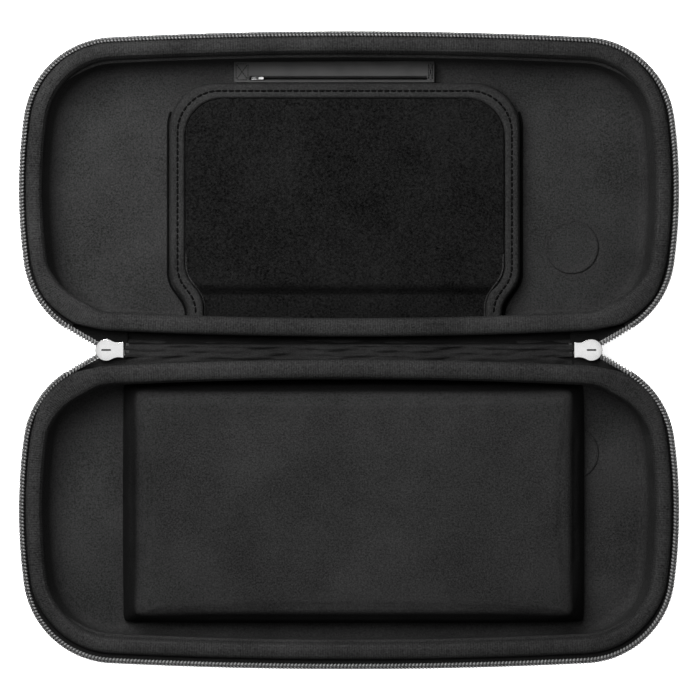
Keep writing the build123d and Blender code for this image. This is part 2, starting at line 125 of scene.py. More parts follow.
def corner_centre():
    """Middle of the corner arc that touches the side arc and the long arc from inside."""
    side, long = np.array([HALF_WIDTH - SIDE_RADIUS, 0.0]), np.array([0.0, HALF_DEPTH - LONG_RADIUS])
    a, b = SIDE_RADIUS - CORNER_RADIUS, LONG_RADIUS - CORNER_RADIUS
    apart = long - side
    d = np.linalg.norm(apart)
    along = (a * a - b * b + d * d) / (2 * d)
    across = math.sqrt(a * a - along * along)
    unit = apart / d
    normal = np.array([-unit[1], unit[0]])
    return side + unit * along + normal * across


CORNER = corner_centre()
LONG_ANGLE = math.atan2(CORNER[1] + LONG_RADIUS - HALF_DEPTH, CORNER[0])
SIDE_ANGLE = math.atan2(CORNER[1], CORNER[0] + SIDE_RADIUS - HALF_WIDTH)


def outline_arcs():
    """The arcs of the outline, anticlockwise from the middle of the hinge side: centre, radius, angles."""
    half_turn = math.pi
    side_u, long_v = HALF_WIDTH - SIDE_RADIUS, LONG_RADIUS - HALF_DEPTH
    cu, cv = CORNER
    return [
        ((0, long_v), LONG_RADIUS, -half_turn / 2, -LONG_ANGLE),
        ((cu, -cv), CORNER_RADIUS, -LONG_ANGLE, -SIDE_ANGLE),
        ((side_u, 0), SIDE_RADIUS, -SIDE_ANGLE, SIDE_ANGLE),
        ((cu, cv), CORNER_RADIUS, SIDE_ANGLE, LONG_ANGLE),
        ((0, -long_v), LONG_RADIUS, LONG_ANGLE, half_turn - LONG_ANGLE),
        ((-cu, cv), CORNER_RADIUS, half_turn - LONG_ANGLE, half_turn - SIDE_ANGLE),
        ((-side_u, 0), SIDE_RADIUS, half_turn - SIDE_ANGLE, half_turn + SIDE_ANGLE),
        ((-cu, -cv), CORNER_RADIUS, half_turn + SIDE_ANGLE, half_turn + LONG_ANGLE),
        ((0, long_v), LONG_RADIUS, half_turn + LONG_ANGLE, 1.5 * half_turn),
    ]


ARCS = outline_arcs()
ARC_LENGTHS = np.array([radius * (stop - start) for _, radius, start, stop in ARCS])
ARC_ENDS = np.concatenate([[0], np.cumsum(ARC_LENGTHS)])
ROUND = ARC_ENDS[-1]


def outline(s, inset=0.0):
    """Points (u, v) and outward normals at distances s round the outline, drawn in by an inset."""
    s = np.asarray(s, float) % ROUND
    k = np.clip(np.searchsorted(ARC_ENDS, s, side="right") - 1, 0, len(ARCS) - 1)
    centres = np.array([arc[0] for arc in ARCS])[k]
    radii = np.array([arc[1] for arc in ARCS])[k]
    starts = np.array([arc[2] for arc in ARCS])[k]
    angle = starts + (s - ARC_ENDS[k]) / radii
    normal = np.stack([np.cos(angle), np.sin(angle)], axis=1)
    reach = radii - np.asarray(inset)
    return centres + normal * reach[:, None], normal


def to_world(uv, z, side):
    """Points of a half in the row frame."""
    uv = np.asarray(uv)
    z = np.broadcast_to(z, uv.shape[:-1])
    return np.stack([uv[..., 0], side * (HALF_CENTRE + uv[..., 1]), z], axis=-1)


def wall_inset(z):
    return SHELL_INSET + (SHELL_TOP - z) * math.tan(DRAFT)


def hinge_wall(x, inset):
    """Distance from the hinge line to a half's long side, drawn in by an inset, at x."""
    reach = LONG_RADIUS - inset
    return HALF_CENTRE + LONG_RADIUS - HALF_DEPTH - np.sqrt(reach**2 - np.asarray(x) ** 2)


def station_at(u):
    """Distance round the outline to the hinge-side corner's point at u."""
    angle = -math.acos((u - CORNER[0]) / CORNER_RADIUS)
    return ARC_ENDS[1] + CORNER_RADIUS * (angle + LONG_ANGLE)


def liner_inside(z):
    """Inset of the liner's inner surface at a height, round its bottom edge too."""
    radius = EDGE_RADIUS - LINER_INSET
    centre_z = LINER_FLOOR + radius
    centre_inset = wall_inset(centre_z) + LINER_INSET + radius / math.cos(DRAFT)
    drop = np.clip(centre_z - z, 0, radius)
    rounded = centre_inset - np.sqrt(radius**2 - drop**2)
    return np.where(z > centre_z, wall_inset(z) + LINER_INSET, rounded)


def keep_inside(points, side, gap):
    """Points moved in where they would pass through a half's liner."""
    moved = points.copy()
    moved[:, 2] = np.maximum(moved[:, 2], LINER_FLOOR + gap)
    u, v = moved[:, 0], side * moved[:, 1] - HALF_CENTRE
    signs = np.stack([np.where(u < 0, -1, 1), np.where(v < 0, -1, 1)], axis=1)
    spot = np.abs(np.stack([u, v], axis=1))
    turn = np.arctan2(spot[:, 1] - CORNER[1], spot[:, 0] - CORNER[0])
    in_corner = (turn > SIDE_ANGLE) & (turn < LONG_ANGLE)
    hubs = (HALF_WIDTH - SIDE_RADIUS, 0), (0, HALF_DEPTH - LONG_RADIUS), CORNER
    side_out, long_out, corner_out = (spot - np.array(hub) for hub in hubs)
    side_in = SIDE_RADIUS - np.linalg.norm(side_out, axis=1)
    long_in = LONG_RADIUS - np.linalg.norm(long_out, axis=1)
    corner_in = CORNER_RADIUS - np.linalg.norm(corner_out, axis=1)
    inset = np.where(in_corner, corner_in, np.minimum(side_in, long_in))
    away = np.where((side_in < long_in)[:, None], side_out, long_out)
    away = unit(np.where(in_corner[:, None], corner_out, away))
    short = np.clip(liner_inside(moved[:, 2]) + gap - inset, 0, None)
    spot = (spot - away * short[:, None]) * signs
    moved[:, 0] = spot[:, 0]
    moved[:, 1] = side * (HALF_CENTRE + spot[:, 1])
    return moved


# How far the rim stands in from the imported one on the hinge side, at the ends and on the far side
RIM_SHIFT = {-1: (-0.1 * MM, -0.85 * MM, 0.8 * MM), 1: (1.8 * MM, -0.85 * MM, -1.3 * MM)}


def smoothstep(t):
    t = np.clip(t, 0, 1)
    return t * t * (3 - 2 * t)


def rim_shift(out_v, side, z):
    """Extra inset of the rim where the outline faces out_v, fading to nothing towards the floor."""
    hinge, ends, far = RIM_SHIFT[side]
    shift = ends + (hinge - ends) * smoothstep(-out_v) + (far - ends) * smoothstep(out_v)
    return shift * np.clip((z - 8 * MM) / (20 * MM), 0, 1)


# ---------------------------------------------------------------- meshes

def smooth_noise(points, wavelength, seed, waves=7):
    """Smooth repeatable unevenness between about -1 and 1, at points in metres."""
    rng = np.random.default_rng(seed)
    total = np.zeros(len(points))
    for _ in range(waves):
        direction = rng.normal(size=3)
        direction /= np.linalg.norm(direction)
        size = wavelength * rng.uniform(0.7, 1.5)
        total += np.sin(points @ direction * (2 * math.pi / size) + rng.uniform(0, 2 * math.pi))
    return total / math.sqrt(waves)


def make(name, points, faces, material):
    """A smooth mesh object from points and faces, with its normals outward."""
    mesh = bpy.data.meshes.new(name)
    mesh.from_pydata([tuple(p) for p in np.asarray(points, float)], [], [tuple(map(int, f)) for f in faces])
    bm = bmesh.new()
    bm.from_mesh(mesh)
    bmesh.ops.recalc_face_normals(bm, faces=bm.faces)
    bm.to_mesh(mesh)
    bm.free()
    mesh.polygons.foreach_set("use_smooth", [True] * len(mesh.polygons))
    obj = bpy.data.objects.new(name, mesh)
    bpy.context.scene.collection.objects.link(obj)
    mesh.materials.append(material)
    return obj


def grid_faces(rows, columns, close_rows=False, close_columns=False):
    """Quads of a grid of points stored row by row."""
    r = np.arange(rows if close_rows else rows - 1)
    c = np.arange(columns if close_columns else columns - 1)
    r, c = np.meshgrid(r, c, indexing="ij")
    r1, c1 = (r + 1) % rows, (c + 1) % columns
    quads = np.stack([r * columns + c, r * columns + c1, r1 * columns + c1, r1 * columns + c], axis=-1)
    return quads.reshape(-1, 4).tolist()


def capped_faces(rows, columns):
    """Faces of a run of closed rings of points, with a face over each end."""
    last = (rows - 1) * columns
    ends = [list(range(columns))[::-1], [last + k for k in range(columns)]]
    return grid_faces(rows, columns, False, True) + ends


FLOOR_RINGS = (0.82, 0.64, 0.46, 0.28, 0.12)  # sizes of the rings that fill a floor, largest first


def sweep(profile, s, side):
    """Points of a profile swept round a half: one row for each place in s. A profile's rows are (inset, z),
    then how far the row stands in on the far side only, how much it follows the rim's shift, how far it
    stands in on the hinge side only, and how far it stands out round the hinge-side corners."""
    _, out = outline(s)
    rows = []
    for inset, z, *rest in profile:
        far_side, follow, hinge_side, corner = (list(rest) + [0.0, 1.0, 0.0, 0.0][len(rest):])
        reach = inset + far_side * smoothstep((out[:, 1] - 0.5) / 0.45)
        reach = reach + follow * rim_shift(out[:, 1], side, z)
        reach += hinge_side * smoothstep((-out[:, 1] - 0.5) / 0.45)
        reach -= corner * smoothstep((-out[:, 1] - 0.2) / 0.4) * smoothstep((1.0 + out[:, 1]) / 0.14)
        uv, _ = outline(s, reach)
        rows.append(to_world(uv, z, side))
    return np.stack(rows, axis=1)


def ring_object(name, profile, side, material, wobble, count=1400):
    """A closed profile swept all the way round a half. U of its UV map is the distance round, in metres."""
    s = np.linspace(0, ROUND, count, endpoint=False)
    flat = wobble(sweep(profile, s, side).reshape(-1, 3))
    obj = make(name, flat, grid_faces(count, len(profile), True, True), material)
    layer = obj.data.uv_layers.new(name="length")
    corners = np.zeros(len(obj.data.loops), int)
    obj.data.loops.foreach_get("vertex_index", corners)
    station = (corners // len(profile)).reshape(-1, 4)
    wrapped = (station.max(axis=1) - station.min(axis=1) > 1)[:, None] & (station == 0)
    length = np.where(wrapped, ROUND, s[station]).ravel()
    across = (corners % len(profile)) / len(profile)
    layer.data.foreach_set("uv", np.stack([length, across], axis=1).astype(np.float32).ravel())
    return obj


def dish_object(name, profile, side, material, wobble=None, count=600):
    """A profile from one floor over the rim to the other floor, with both floors filled to the middle."""
    points = sweep(profile, np.linspace(0, ROUND, count, endpoint=False), side)
    middle = np.array([0.0, side * HALF_CENTRE, 0.0])
    lead, tail = [], []
    for share in FLOOR_RINGS:
        for rows, ring in ((lead, points[:, 0]), (tail, points[:, -1])):
            inner = middle + (ring - middle) * share
            inner[:, 2] = ring[:, 2]
            rows.append(inner)
    columns = lead[::-1] + [points[:, k] for k in range(points.shape[1])] + tail
    flat = np.stack(columns, axis=1).reshape(-1, 3)
    if wobble is not None:
        flat = wobble(flat)
    first_ring = [k * len(columns) for k in range(count)]
    last_ring = [start + len(columns) - 1 for start in first_ring]
    faces = grid_faces(count, len(columns), True, False) + [first_ring, last_ring[::-1]]
    return make(name, flat, faces, material)


def arc_points(centre, radius, start, stop, steps):
    """Points on an arc, angles in radians."""
    a = np.linspace(start, stop, steps)
    return [(centre[0] + radius * math.cos(t), centre[1] + radius * math.sin(t)) for t in a]


def bowl_profile(offset, floor, top, radius, floor_inset=38 * MM, steps=9):
    """From the rim down the drafted wall, round the bottom edge and along the floor."""
    centre_z = floor + radius
    centre_inset = wall_inset(centre_z) + offset + radius / math.cos(DRAFT)
    start = math.pi + DRAFT
    wall = [(wall_inset(z) + offset, z) for z in np.linspace(top, centre_z + radius * 0.2, 6)]
    edge = arc_points((centre_inset, centre_z), radius, start, 1.5 * math.pi, steps)
    run = [(centre_inset + (floor_inset - centre_inset) * k, floor) for k in (0.25, 0.6, 1.0)]
    return wall + edge + run


def swept_strip(name, profile, side, start, stop, count, material):
    """A closed profile of (inset, z) swept part of the way round a half, with its ends closed."""
    points = sweep(profile, np.linspace(start, stop, count), side)
    return make(name, points.reshape(-1, 3), capped_faces(count, len(profile)), material)


TUBE_REFERENCE = np.array([0.31, 0.17, 0.93])  # any direction that no tube runs exactly along


def slab(name, grid, thickness, material):
    """A sheet: a grid of points, thickened to one side of itself."""
    rows, columns = grid.shape[:2]
    under = grid - unit(np.cross(np.gradient(grid, axis=0), np.gradient(grid, axis=1))) * thickness
    count = rows * columns
    top = grid_faces(rows, columns)
    bottom = [[i + count for i in face[::-1]] for face in top]
    border = list(range(columns))
    border += [r * columns + columns - 1 for r in range(1, rows)]
    border += [(rows - 1) * columns + k for k in range(columns - 2, -1, -1)]
    border += [r * columns for r in range(rows - 2, 0, -1)]
    edge = [[a, b, b + count, a + count] for a, b in zip(border, border[1:] + border[:1])]
    points = np.concatenate([grid.reshape(-1, 3), under.reshape(-1, 3)])
    return make(name, points, top + bottom + edge, material)


def tube(centres, radius, sides):
    """Points and faces of a tube with closed ends along centres."""
    centres = np.asarray(centres, float)
    tangent = unit(np.gradient(centres, axis=0))
    across = unit(np.cross(tangent, TUBE_REFERENCE))
    other = np.cross(tangent, across)
    angle = np.linspace(0, 2 * math.pi, sides, endpoint=False)[None, :, None]
    rim = across[:, None] * np.cos(angle) + other[:, None] * np.sin(angle)
    points = centres[:, None] + rim * radius
    return points.reshape(-1, 3), capped_faces(len(centres), sides)


def join_parts(parts):
    """Points and faces of several meshes as one."""
    points, faces, first = [], [], 0
    for p, f in parts:
        points.append(np.asarray(p))
        faces += [[i + first for i in face] for face in f]
        first += len(p)
    return np.concatenate(points), faces


def dress(obj, body, slot, *nodes):
    """Ride on a body and stand for CAD nodes; slot is not used."""
    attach(obj, body)
    if nodes:
        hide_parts(*nodes)
    return obj


def bend_at_spine(obj):
    """Bakes the object's placing into its mesh."""
    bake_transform(obj)


# ---------------------------------------------------------------- materials

def new_material(name):
    material = bpy.data.materials.new(name)
    material.use_nodes = True
    tree = material.node_tree
    shader = tree.nodes["Principled BSDF"]
    coordinates = tree.nodes.new("ShaderNodeTexCoord")
    return material, tree, shader, coordinates.outputs["Object"]


def add_node(tree, kind, inputs=(), **settings):
    node = tree.nodes.new(kind)
    for key, value in settings.items():
        setattr(node, key, value)
    for key, value in dict(inputs).items():
        if isinstance(value, bpy.types.NodeSocket):
            tree.links.new(value, node.inputs[key])
        else:
            node.inputs[key].default_value = value
    return node


def noise_value(tree, place, scale, detail=2.0, roughness=0.5):
    inputs = {"Vector": place, "Scale": scale, "Detail": detail, "Roughness": roughness}
    return add_node(tree, "ShaderNodeTexNoise", inputs).outputs["Fac"]


def wave_value(tree, place, spacing, direction, distortion):
    """Slightly wavering bands across an axis, spacing apart."""
    inputs = {"Vector": place, "Scale": math.pi / (10 * spacing), "Distortion": distortion}
    inputs |= {"Detail": 1.0, "Detail Scale": 2.0}
    return add_node(tree, "ShaderNodeTexWave", inputs, bands_direction=direction).outputs["Fac"]


def maths(tree, operation, a, b):
    return add_node(tree, "ShaderNodeMath", {0: a, 1: b}, operation=operation).outputs[0]


def plus(tree, a, b):
    return maths(tree, "ADD", a, b)


def times(tree, a, b):
    return maths(tree, "MULTIPLY", a, b)


def ramp(tree, value, low, high, start=0.0, stop=1.0):
    """A value turned into a grey or colour between two colours."""
    node = add_node(tree, "ShaderNodeMapRange", {"Value": value, "From Min": start, "From Max": stop})
    mix = add_node(tree, "ShaderNodeMix", {"Factor": node.outputs[0]}, data_type="RGBA")
    mix.inputs[6].default_value = (*low, 1)
    mix.inputs[7].default_value = (*high, 1)
    return mix.outputs[2]


def grey(level):
    return (level, level, level)


def painted_shade_below(tree, place, colour, low, high, share):
    """Painted shade: a colour times share below one height, rising to itself at another."""
    z = add_node(tree, "ShaderNodeSeparateXYZ", {"Vector": place}).outputs["Z"]
    depth = {"Value": z, "From Min": low, "From Max": high, "To Min": share}
    kept = add_node(tree, "ShaderNodeMapRange", depth).outputs[0]
    return add_node(tree, "ShaderNodeVectorMath", {0: colour, "Scale": kept}, operation="SCALE").outputs[0]


def set_surface(tree, shader, colour, dulling, rough, height, strength, distance):
    """Connects a colour, a roughness that varies between two values with the dulling, and a bump."""
    spread = add_node(tree, "ShaderNodeMapRange", {"Value": dulling, "To Min": rough[0], "To Max": rough[1]})
    bump = add_node(tree, "ShaderNodeBump", {"Height": height, "Strength": strength, "Distance": distance})
    tree.links.new(colour, shader.inputs["Base Color"])
    tree.links.new(spread.outputs[0], shader.inputs["Roughness"])
    tree.links.new(bump.outputs[0], shader.inputs["Normal"])


def fabric(name, level, spread, yarn, weave=0.6, fuzz=0.35, bump=0.00012, roughness=0.9, ribs=0.0, top=None):
    """Knitted or woven cloth: crossing yarns, fine fuzz and slow unevenness of tone. Ribs follow the U of the
    piece's UV map, which is in metres. Where a top is given, shade is painted into the cloth below it,
    because the lamps leave the sides too pale."""
    material, tree, shader, place = new_material(name)
    fine = noise_value(tree, place, 1.0 / (1.3 * yarn), 3.0, 0.7)
    slow = noise_value(tree, place, 30.0, 3.0, 0.55)
    yarn_x, yarn_y, yarn_z = (wave_value(tree, place, yarn, axis, 1.2) for axis in "XYZ")
    cross = plus(tree, times(tree, yarn_x, yarn_y), times(tree, yarn_z, 0.4))
    cloth = plus(tree, times(tree, cross, weave * 0.5), times(tree, fine, fuzz * 2))
    mixed = plus(tree, fine, times(tree, cross, 0.12 * weave))
    tone = plus(tree, mixed, times(tree, maths(tree, "SUBTRACT", slow, 0.5), 0.33))
    if ribs:
        length = tree.nodes.new("ShaderNodeUVMap").outputs["UV"]
        rib = wave_value(tree, length, ribs, "X", 0.8)
        cloth = plus(tree, cloth, times(tree, rib, 0.8))
        tone = plus(tree, tone, times(tree, maths(tree, "SUBTRACT", rib, 0.5), 0.10))
    colour = ramp(tree, tone, grey(level * (1 - spread)), grey(level * (1 + spread)), 0.3, 0.8)
    if top is not None:
        # painted shade: the cloth is darker on the sides below its top
        colour = painted_shade_below(tree, place, colour, top - 3.4 * MM, top - 1.1 * MM, 0.5)
    shader.inputs["Specular IOR Level"].default_value = 0.05
    set_surface(tree, shader, colour, fine, (roughness - 0.06, roughness + 0.06), cloth, 0.8, bump)
    return material


def metal(name, level, roughness=0.22, scratch=0.05, top=None):
    """Bright nickel with fine scratches and slight dulling. Where a top is given, shade is painted into the
    metal below it, to bring out the recesses and the edges."""
    material, tree, shader, place = new_material(name)
    dull = noise_value(tree, place, 700.0, 4.0, 0.6)
    lines = wave_value(tree, place, 0.4 * MM, "DIAGONAL", 6.0)
    colour = ramp(tree, dull, grey(level * 0.92), grey(level), 0.3, 0.7)
    if top is not None:
        # painted shade in the recesses and down the edges below the top
        colour = painted_shade_below(tree, place, colour, top - 0.30 * MM, top - 0.06 * MM, 0.12)
    shader.inputs["Metallic"].default_value = 1.0
    set_surface(tree, shader, colour, dull, (roughness - 0.06, roughness + 0.1), lines, scratch, 0.00002)
    return material


def nylon(name, low, high, roughness):
    """Glossy moulded or drawn plastic with slight unevenness."""
    material, tree, shader, place = new_material(name)
    patch = noise_value(tree, place, 260.0, 2.0, 0.5)
    colour = ramp(tree, patch, grey(low), grey(high), 0.35, 0.65)
    set_surface(tree, shader, colour, patch, (roughness - 0.06, roughness + 0.1), patch, 0.2, 0.00003)
    return material


def coated(name, level, roughness=0.5):
    """Smooth coated fabric: a fine grain under a satin skin."""
    material, tree, shader, place = new_material(name)
    cells = add_node(tree, "ShaderNodeTexVoronoi", {"Vector": place, "Scale": 1600.0}, feature="F1")
    grain = cells.outputs["Distance"]
    patch = noise_value(tree, place, 120.0, 3.0, 0.5)
    colour = ramp(tree, patch, grey(level * 0.9), grey(level * 1.1), 0.3, 0.7)
    shader.inputs["Specular IOR Level"].default_value = 0.15
    set_surface(tree, shader, colour, patch, (roughness - 0.05, roughness + 0.08), grain, 0.35, 0.00006)
    return material


LINING = fabric("lining_knit", 0.0195, 0.62, 0.62 * MM)
BINDING = fabric("binding_knit", 0.0185, 0.7, 0.55 * MM, weave=0.8, bump=0.0001, ribs=1.15 * MM)
PIPING = fabric("piping_knit", 0.0185, 0.7, 0.55 * MM, weave=0.8, bump=0.0001)
BAND = fabric("pocket_band_knit", 0.0172, 0.6, 0.6 * MM)
# the insert's cloth, with shade painted on its sides below its top
INSERT_PAINTED_SHADE = fabric("insert_knit_painted_shade", 0.0172, 0.6, 0.6 * MM, top=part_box("insert_cover")[1].z)
SPINE = fabric("spine_weave", 0.013, 0.7, 0.45 * MM)
OUTSIDE = fabric("outside_weave", 0.024, 0.5, 0.8 * MM, weave=1.2, fuzz=0.2, bump=0.00022)
PLUSH = fabric("plush_pile", 0.0072, 0.9, 0.7 * MM, weave=0.1, fuzz=0.8, bump=0.0003, roughness=0.95)
# the zip tapes' black cloth, also used as painted shadow on the spine's lining beside the lid
TAPE_AND_PAINTED_SHADOW = fabric("tape_weave_and_painted_shadow", 0.0065, 0.5, 0.5 * MM, weave=1.0)
# dark thread, also used as painted shadow round the pocket's foot
THREAD_AND_PAINTED_SHADOW = fabric("thread_twist_and_painted_shadow", 0.004, 0.5, 0.3 * MM)
FACING = coated("facing_coated", 0.029)
NICKEL = metal("slider_nickel", 0.86)
# the slider plates' nickel, with shade painted in the slot and down the edges
NICKEL_PAINTED_SHADE = metal("slider_nickel_painted_shade", 0.86, top=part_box("slider_body_left")[1].z)
COIL = nylon("coil_nylon", 0.10, 0.13, 0.42)
STOP = nylon("stop_moulded", 0.012, 0.02, 0.4)
CORD = fabric("cord_twist", 0.05, 0.5, 0.35 * MM)
COIL_STITCH = fabric("coil_stitch_twist", 0.045, 0.5, 0.3 * MM)
LIP = coated("pocket_lip_coated", 0.016)
BADGE = coated("badge_soft", 0.02, 0.42)


# ---------------------------------------------------------------- shells, liners and bindings

def binding_profile(wider):
    """Padded strip folded over the rim: outer leg, crowned top, inner leg, and back along the bead. It is
    wider on the hinge side."""
    outer, inner = 3.95 * MM, 11.5 * MM
    over_top = [(0, 25.7), (-0.1, 26.8), (0.1, 27.9), (0.75, 28.9), (1.8, 29.5)]
    over_top += [(3.0, 29.78), (4.2, 29.7), (5.3, 29.3), (6.3, 28.5), (6.95, 27.3)]
    inner_leg = [(0, 25.9 * MM), (0.05, 24.4 * MM), (-0.1, 23.0 * MM), (-0.5, LEG_BOTTOM)]
    crown = [(outer + step * MM, z * MM) for step, z in over_top]
    crown += [(inner + step * MM, z) for step, z in inner_leg]
    back = [
        (inner - 0.95 * MM, LEG_BOTTOM),
        (inner - 0.95 * MM, 25.5 * MM),
        (inner - 1.0 * MM, SHELL_TOP + 0.05 * MM),
        (SHELL_INSET - 0.05 * MM, SHELL_TOP + 0.05 * MM),
        (SHELL_INSET - 0.1 * MM, 25.8 * MM),
    ]
    rows = []
    for inset, z in crown:
        share = smoothstep((inset - outer - MM) / (5 * MM))
        full = BINDING_FULLER * ((1 - share) * (z > 27.5 * MM) - 0.6 * share)
        overhang = BINDING_OVERHANG * (1 - share) * (z > 26 * MM)
        rows.append((inset, z, -overhang, 1.0, wider * share, full))
    for inset, z in back:
        inside = inset > 9 * MM
        rows.append((inset, z, 0.0, 1.0, wider * inside, -0.6 * BINDING_FULLER * inside))
    return rows


def liner_profile():
    """Inside of the liner from the floor up, a folded lip under the binding, and back down outside it."""
    inside = bowl_profile(LINER_INSET, LINER_FLOOR, 20.0 * MM, EDGE_RADIUS - LINER_INSET)[::-1]
    lip_inset = wall_inset(21 * MM) + LINER_INSET
    folded = ((20.3, 0.3), (20.6, 1.5), (21.1, 2.2), (21.6, 2.1), (21.9, 1.2))
    lip = [(lip_inset, z * MM, stands_in * MM) for z, stands_in in folded]
    lip += [(lip_inset - 0.1 * MM, 22.1 * MM), (wall_inset(LINER_TOP) + 3.2 * MM, LINER_TOP)]
    outside = bowl_profile(3.15 * MM, 3.15 * MM, LINER_TOP - 0.3 * MM, EDGE_RADIUS - 3.15 * MM)
    return inside + lip + outside


def shell_profile():
    """Inside of the shell from the floor up, its bead, and back down outside it."""
    inside = bowl_profile(SHELL_WALL, SHELL_WALL, 23.0 * MM, EDGE_RADIUS - SHELL_WALL)[::-1]
    bead = [(10.45 * MM, 23.0 * MM), (10.45 * MM, SHELL_TOP), (SHELL_INSET + 0.4 * MM, SHELL_TOP)]
    outside = bowl_profile(0.0, 0.0, SHELL_TOP - 0.4 * MM, EDGE_RADIUS, steps=14)
    return inside + bead + outside


BINDING_FULLER = 1.8 * MM  # how much further the crown reaches round the hinge-side corners
BINDING_OVERHANG = 0.35 * MM  # how far the crown hangs out over the zip on the far side
BINDING_WIDER = {-1: 1.7 * MM, 1: 1.3 * MM}
SEAM_X = -2.8 * MM  # where the base's binding is joined
SEEDS = {"base": 11, "lid": 23}

for half, side in SIDES.items():

    def padded_wobble(points, seed=SEEDS[half]):
        """Lumps of the binding's stuffing, and small puckers round the base's seam."""
        lump = smooth_noise(points, 28 * MM, seed) * 0.10 * MM
        lump += smooth_noise(points, 9 * MM, seed + 1) * 0.05 * MM
        high = np.clip((points[:, 2] - LEG_BOTTOM) / (RIM_TOP - LEG_BOTTOM), 0, 1)
        at_seam = (np.abs(points[:, 1]) < 16 * MM) * (seed == SEEDS["base"])
        seam = np.exp(-(((points[:, 0] - SEAM_X) / (0.45 * MM)) ** 2)) * at_seam
        moved = points.copy()
        moved[:, 2] += np.minimum(lump * high, 0.04 * MM) - 0.4 * MM * seam * high
        return moved

    def liner_wobble(points, seed=SEEDS[half]):
        """The lining lies a little unevenly on its floor and walls."""
        moved = points.copy()
        inside = points[:, 2] > LINER_FLOOR - 0.3 * MM
        moved[inside, 2] += (smooth_noise(points[inside], 45 * MM, seed + 5) * 0.07 + 0.07) * MM
        return moved

    rim = binding_profile(BINDING_WIDER[side])
    binding = ring_object(f"{half}_rim_padding", rim, side, BINDING, padded_wobble)
    dress(binding, half, "binding", f"{half}_rim_binding")

    liner = dish_object(f"{half}_lining", liner_profile(), side, LINING, liner_wobble)
    dress(liner, half, "lining", f"{half}_liner")

    shell = dish_object(f"{half}_outer_shell", shell_profile(), side, OUTSIDE)
    dress(shell, half, "shell_fabric", f"{half}_shell")


# ---------------------------------------------------------------- main zip

def coil_mesh(path, head, side_way, half_thick=COIL_HALF_THICK):
    """Points and faces of a coil wound round a path sampled once for every step of every turn. Each head is
    dented in its middle, where the sewing line passes."""
    turn = (np.arange(len(path)) / TURN_STEPS) * 2 * math.pi + math.pi
    up, over = np.cos(turn), np.sin(turn)
    dent = COIL_DENT * np.exp(-((over / 0.42) ** 2)) * (up > 0)
    rise = np.sign(up) * np.abs(up) ** 0.7 * COIL_REACH - dent
    aside = np.sign(over) * np.abs(over) ** 0.85 * half_thick
    strand = path + head * rise[:, None] + side_way * aside[:, None]
    tangent = unit(np.gradient(strand, axis=0))
    across = unit(np.cross(tangent, head * up[:, None] + side_way * over[:, None]))
    outward = np.cross(across, tangent)
    wide = 1 + 0.35 * np.clip(up, 0, None) ** 3
    ring = np.linspace(0, 2 * math.pi, STRAND_SIDES, endpoint=False)[None, :, None]
    rim = outward[:, None] * np.cos(ring) + across[:, None] * np.sin(ring) * wide[:, None, None]
    points = (strand[:, None] + rim * STRAND).reshape(-1, 3)
    return points, capped_faces(len(path), STRAND_SIDES)


def run_in_path(side, end):
    """Dense line of a coil's middle from the outline down to the slider and on under the spine, with its
    head and side directions."""
    start_s = station_at(COIL_LEAVES) if end > 0 else ROUND - station_at(COIL_LEAVES)
    uv, out = outline([start_s], COIL_INSET)
    first = to_world(uv, COIL_MIDDLE, side)[0]
    way = np.array([-end * abs(out[0, 1]), -side * abs(out[0, 0]), -0.12])
    mouth = np.array([end * (POST_X + 1.5 * MM), side * 2.6 * MM, CHAIN_MIDDLE])
    entry = np.array([end * (POST_X - 5 * MM), side * CHAIN_ROW, CHAIN_MIDDLE])
    inner = np.array([end * CHAIN_END, side * CHAIN_ROW, CHAIN_MIDDLE])
    lead = 7 * MM
    bend = [first, first + way * lead, mouth + np.array([end * 0.9, side * 0.55, 0.3]) * lead, mouth]
    t = np.linspace(0, 1, RUN_IN_STEPS)[:, None]
    curve = (1 - t) ** 3 * bend[0] + 3 * (1 - t) ** 2 * t * bend[1]
    curve = curve + 3 * (1 - t) * t**2 * bend[2] + t**3 * bend[3]
    straight = mouth + (entry - mouth) * np.linspace(0, 1, 12)[1:, None]
    tail = entry + (inner - entry) * np.linspace(0, 1, 24)[1:, None]
    line = np.concatenate([curve, straight, tail])
    gone = distances_along(line)
    turn = (smoothstep(gone / gone[RUN_IN_STEPS - 1]) * math.pi / 2)[:, None]
    towards = np.array([0.0, -side, 0.0])
    tangent = unit(np.gradient(line, axis=0))
    head = np.array([0.0, 0.0, 1.0]) * np.cos(turn) + towards * np.sin(turn)
    return line, gone, unit(head - tangent * np.sum(head * tangent, axis=1)[:, None])


def at_distances(line, gone, distances):
    """Values along a line, one row for each distance from its start."""
    return np.stack([np.interp(distances, gone, line[:, k]) for k in range(3)], axis=1)


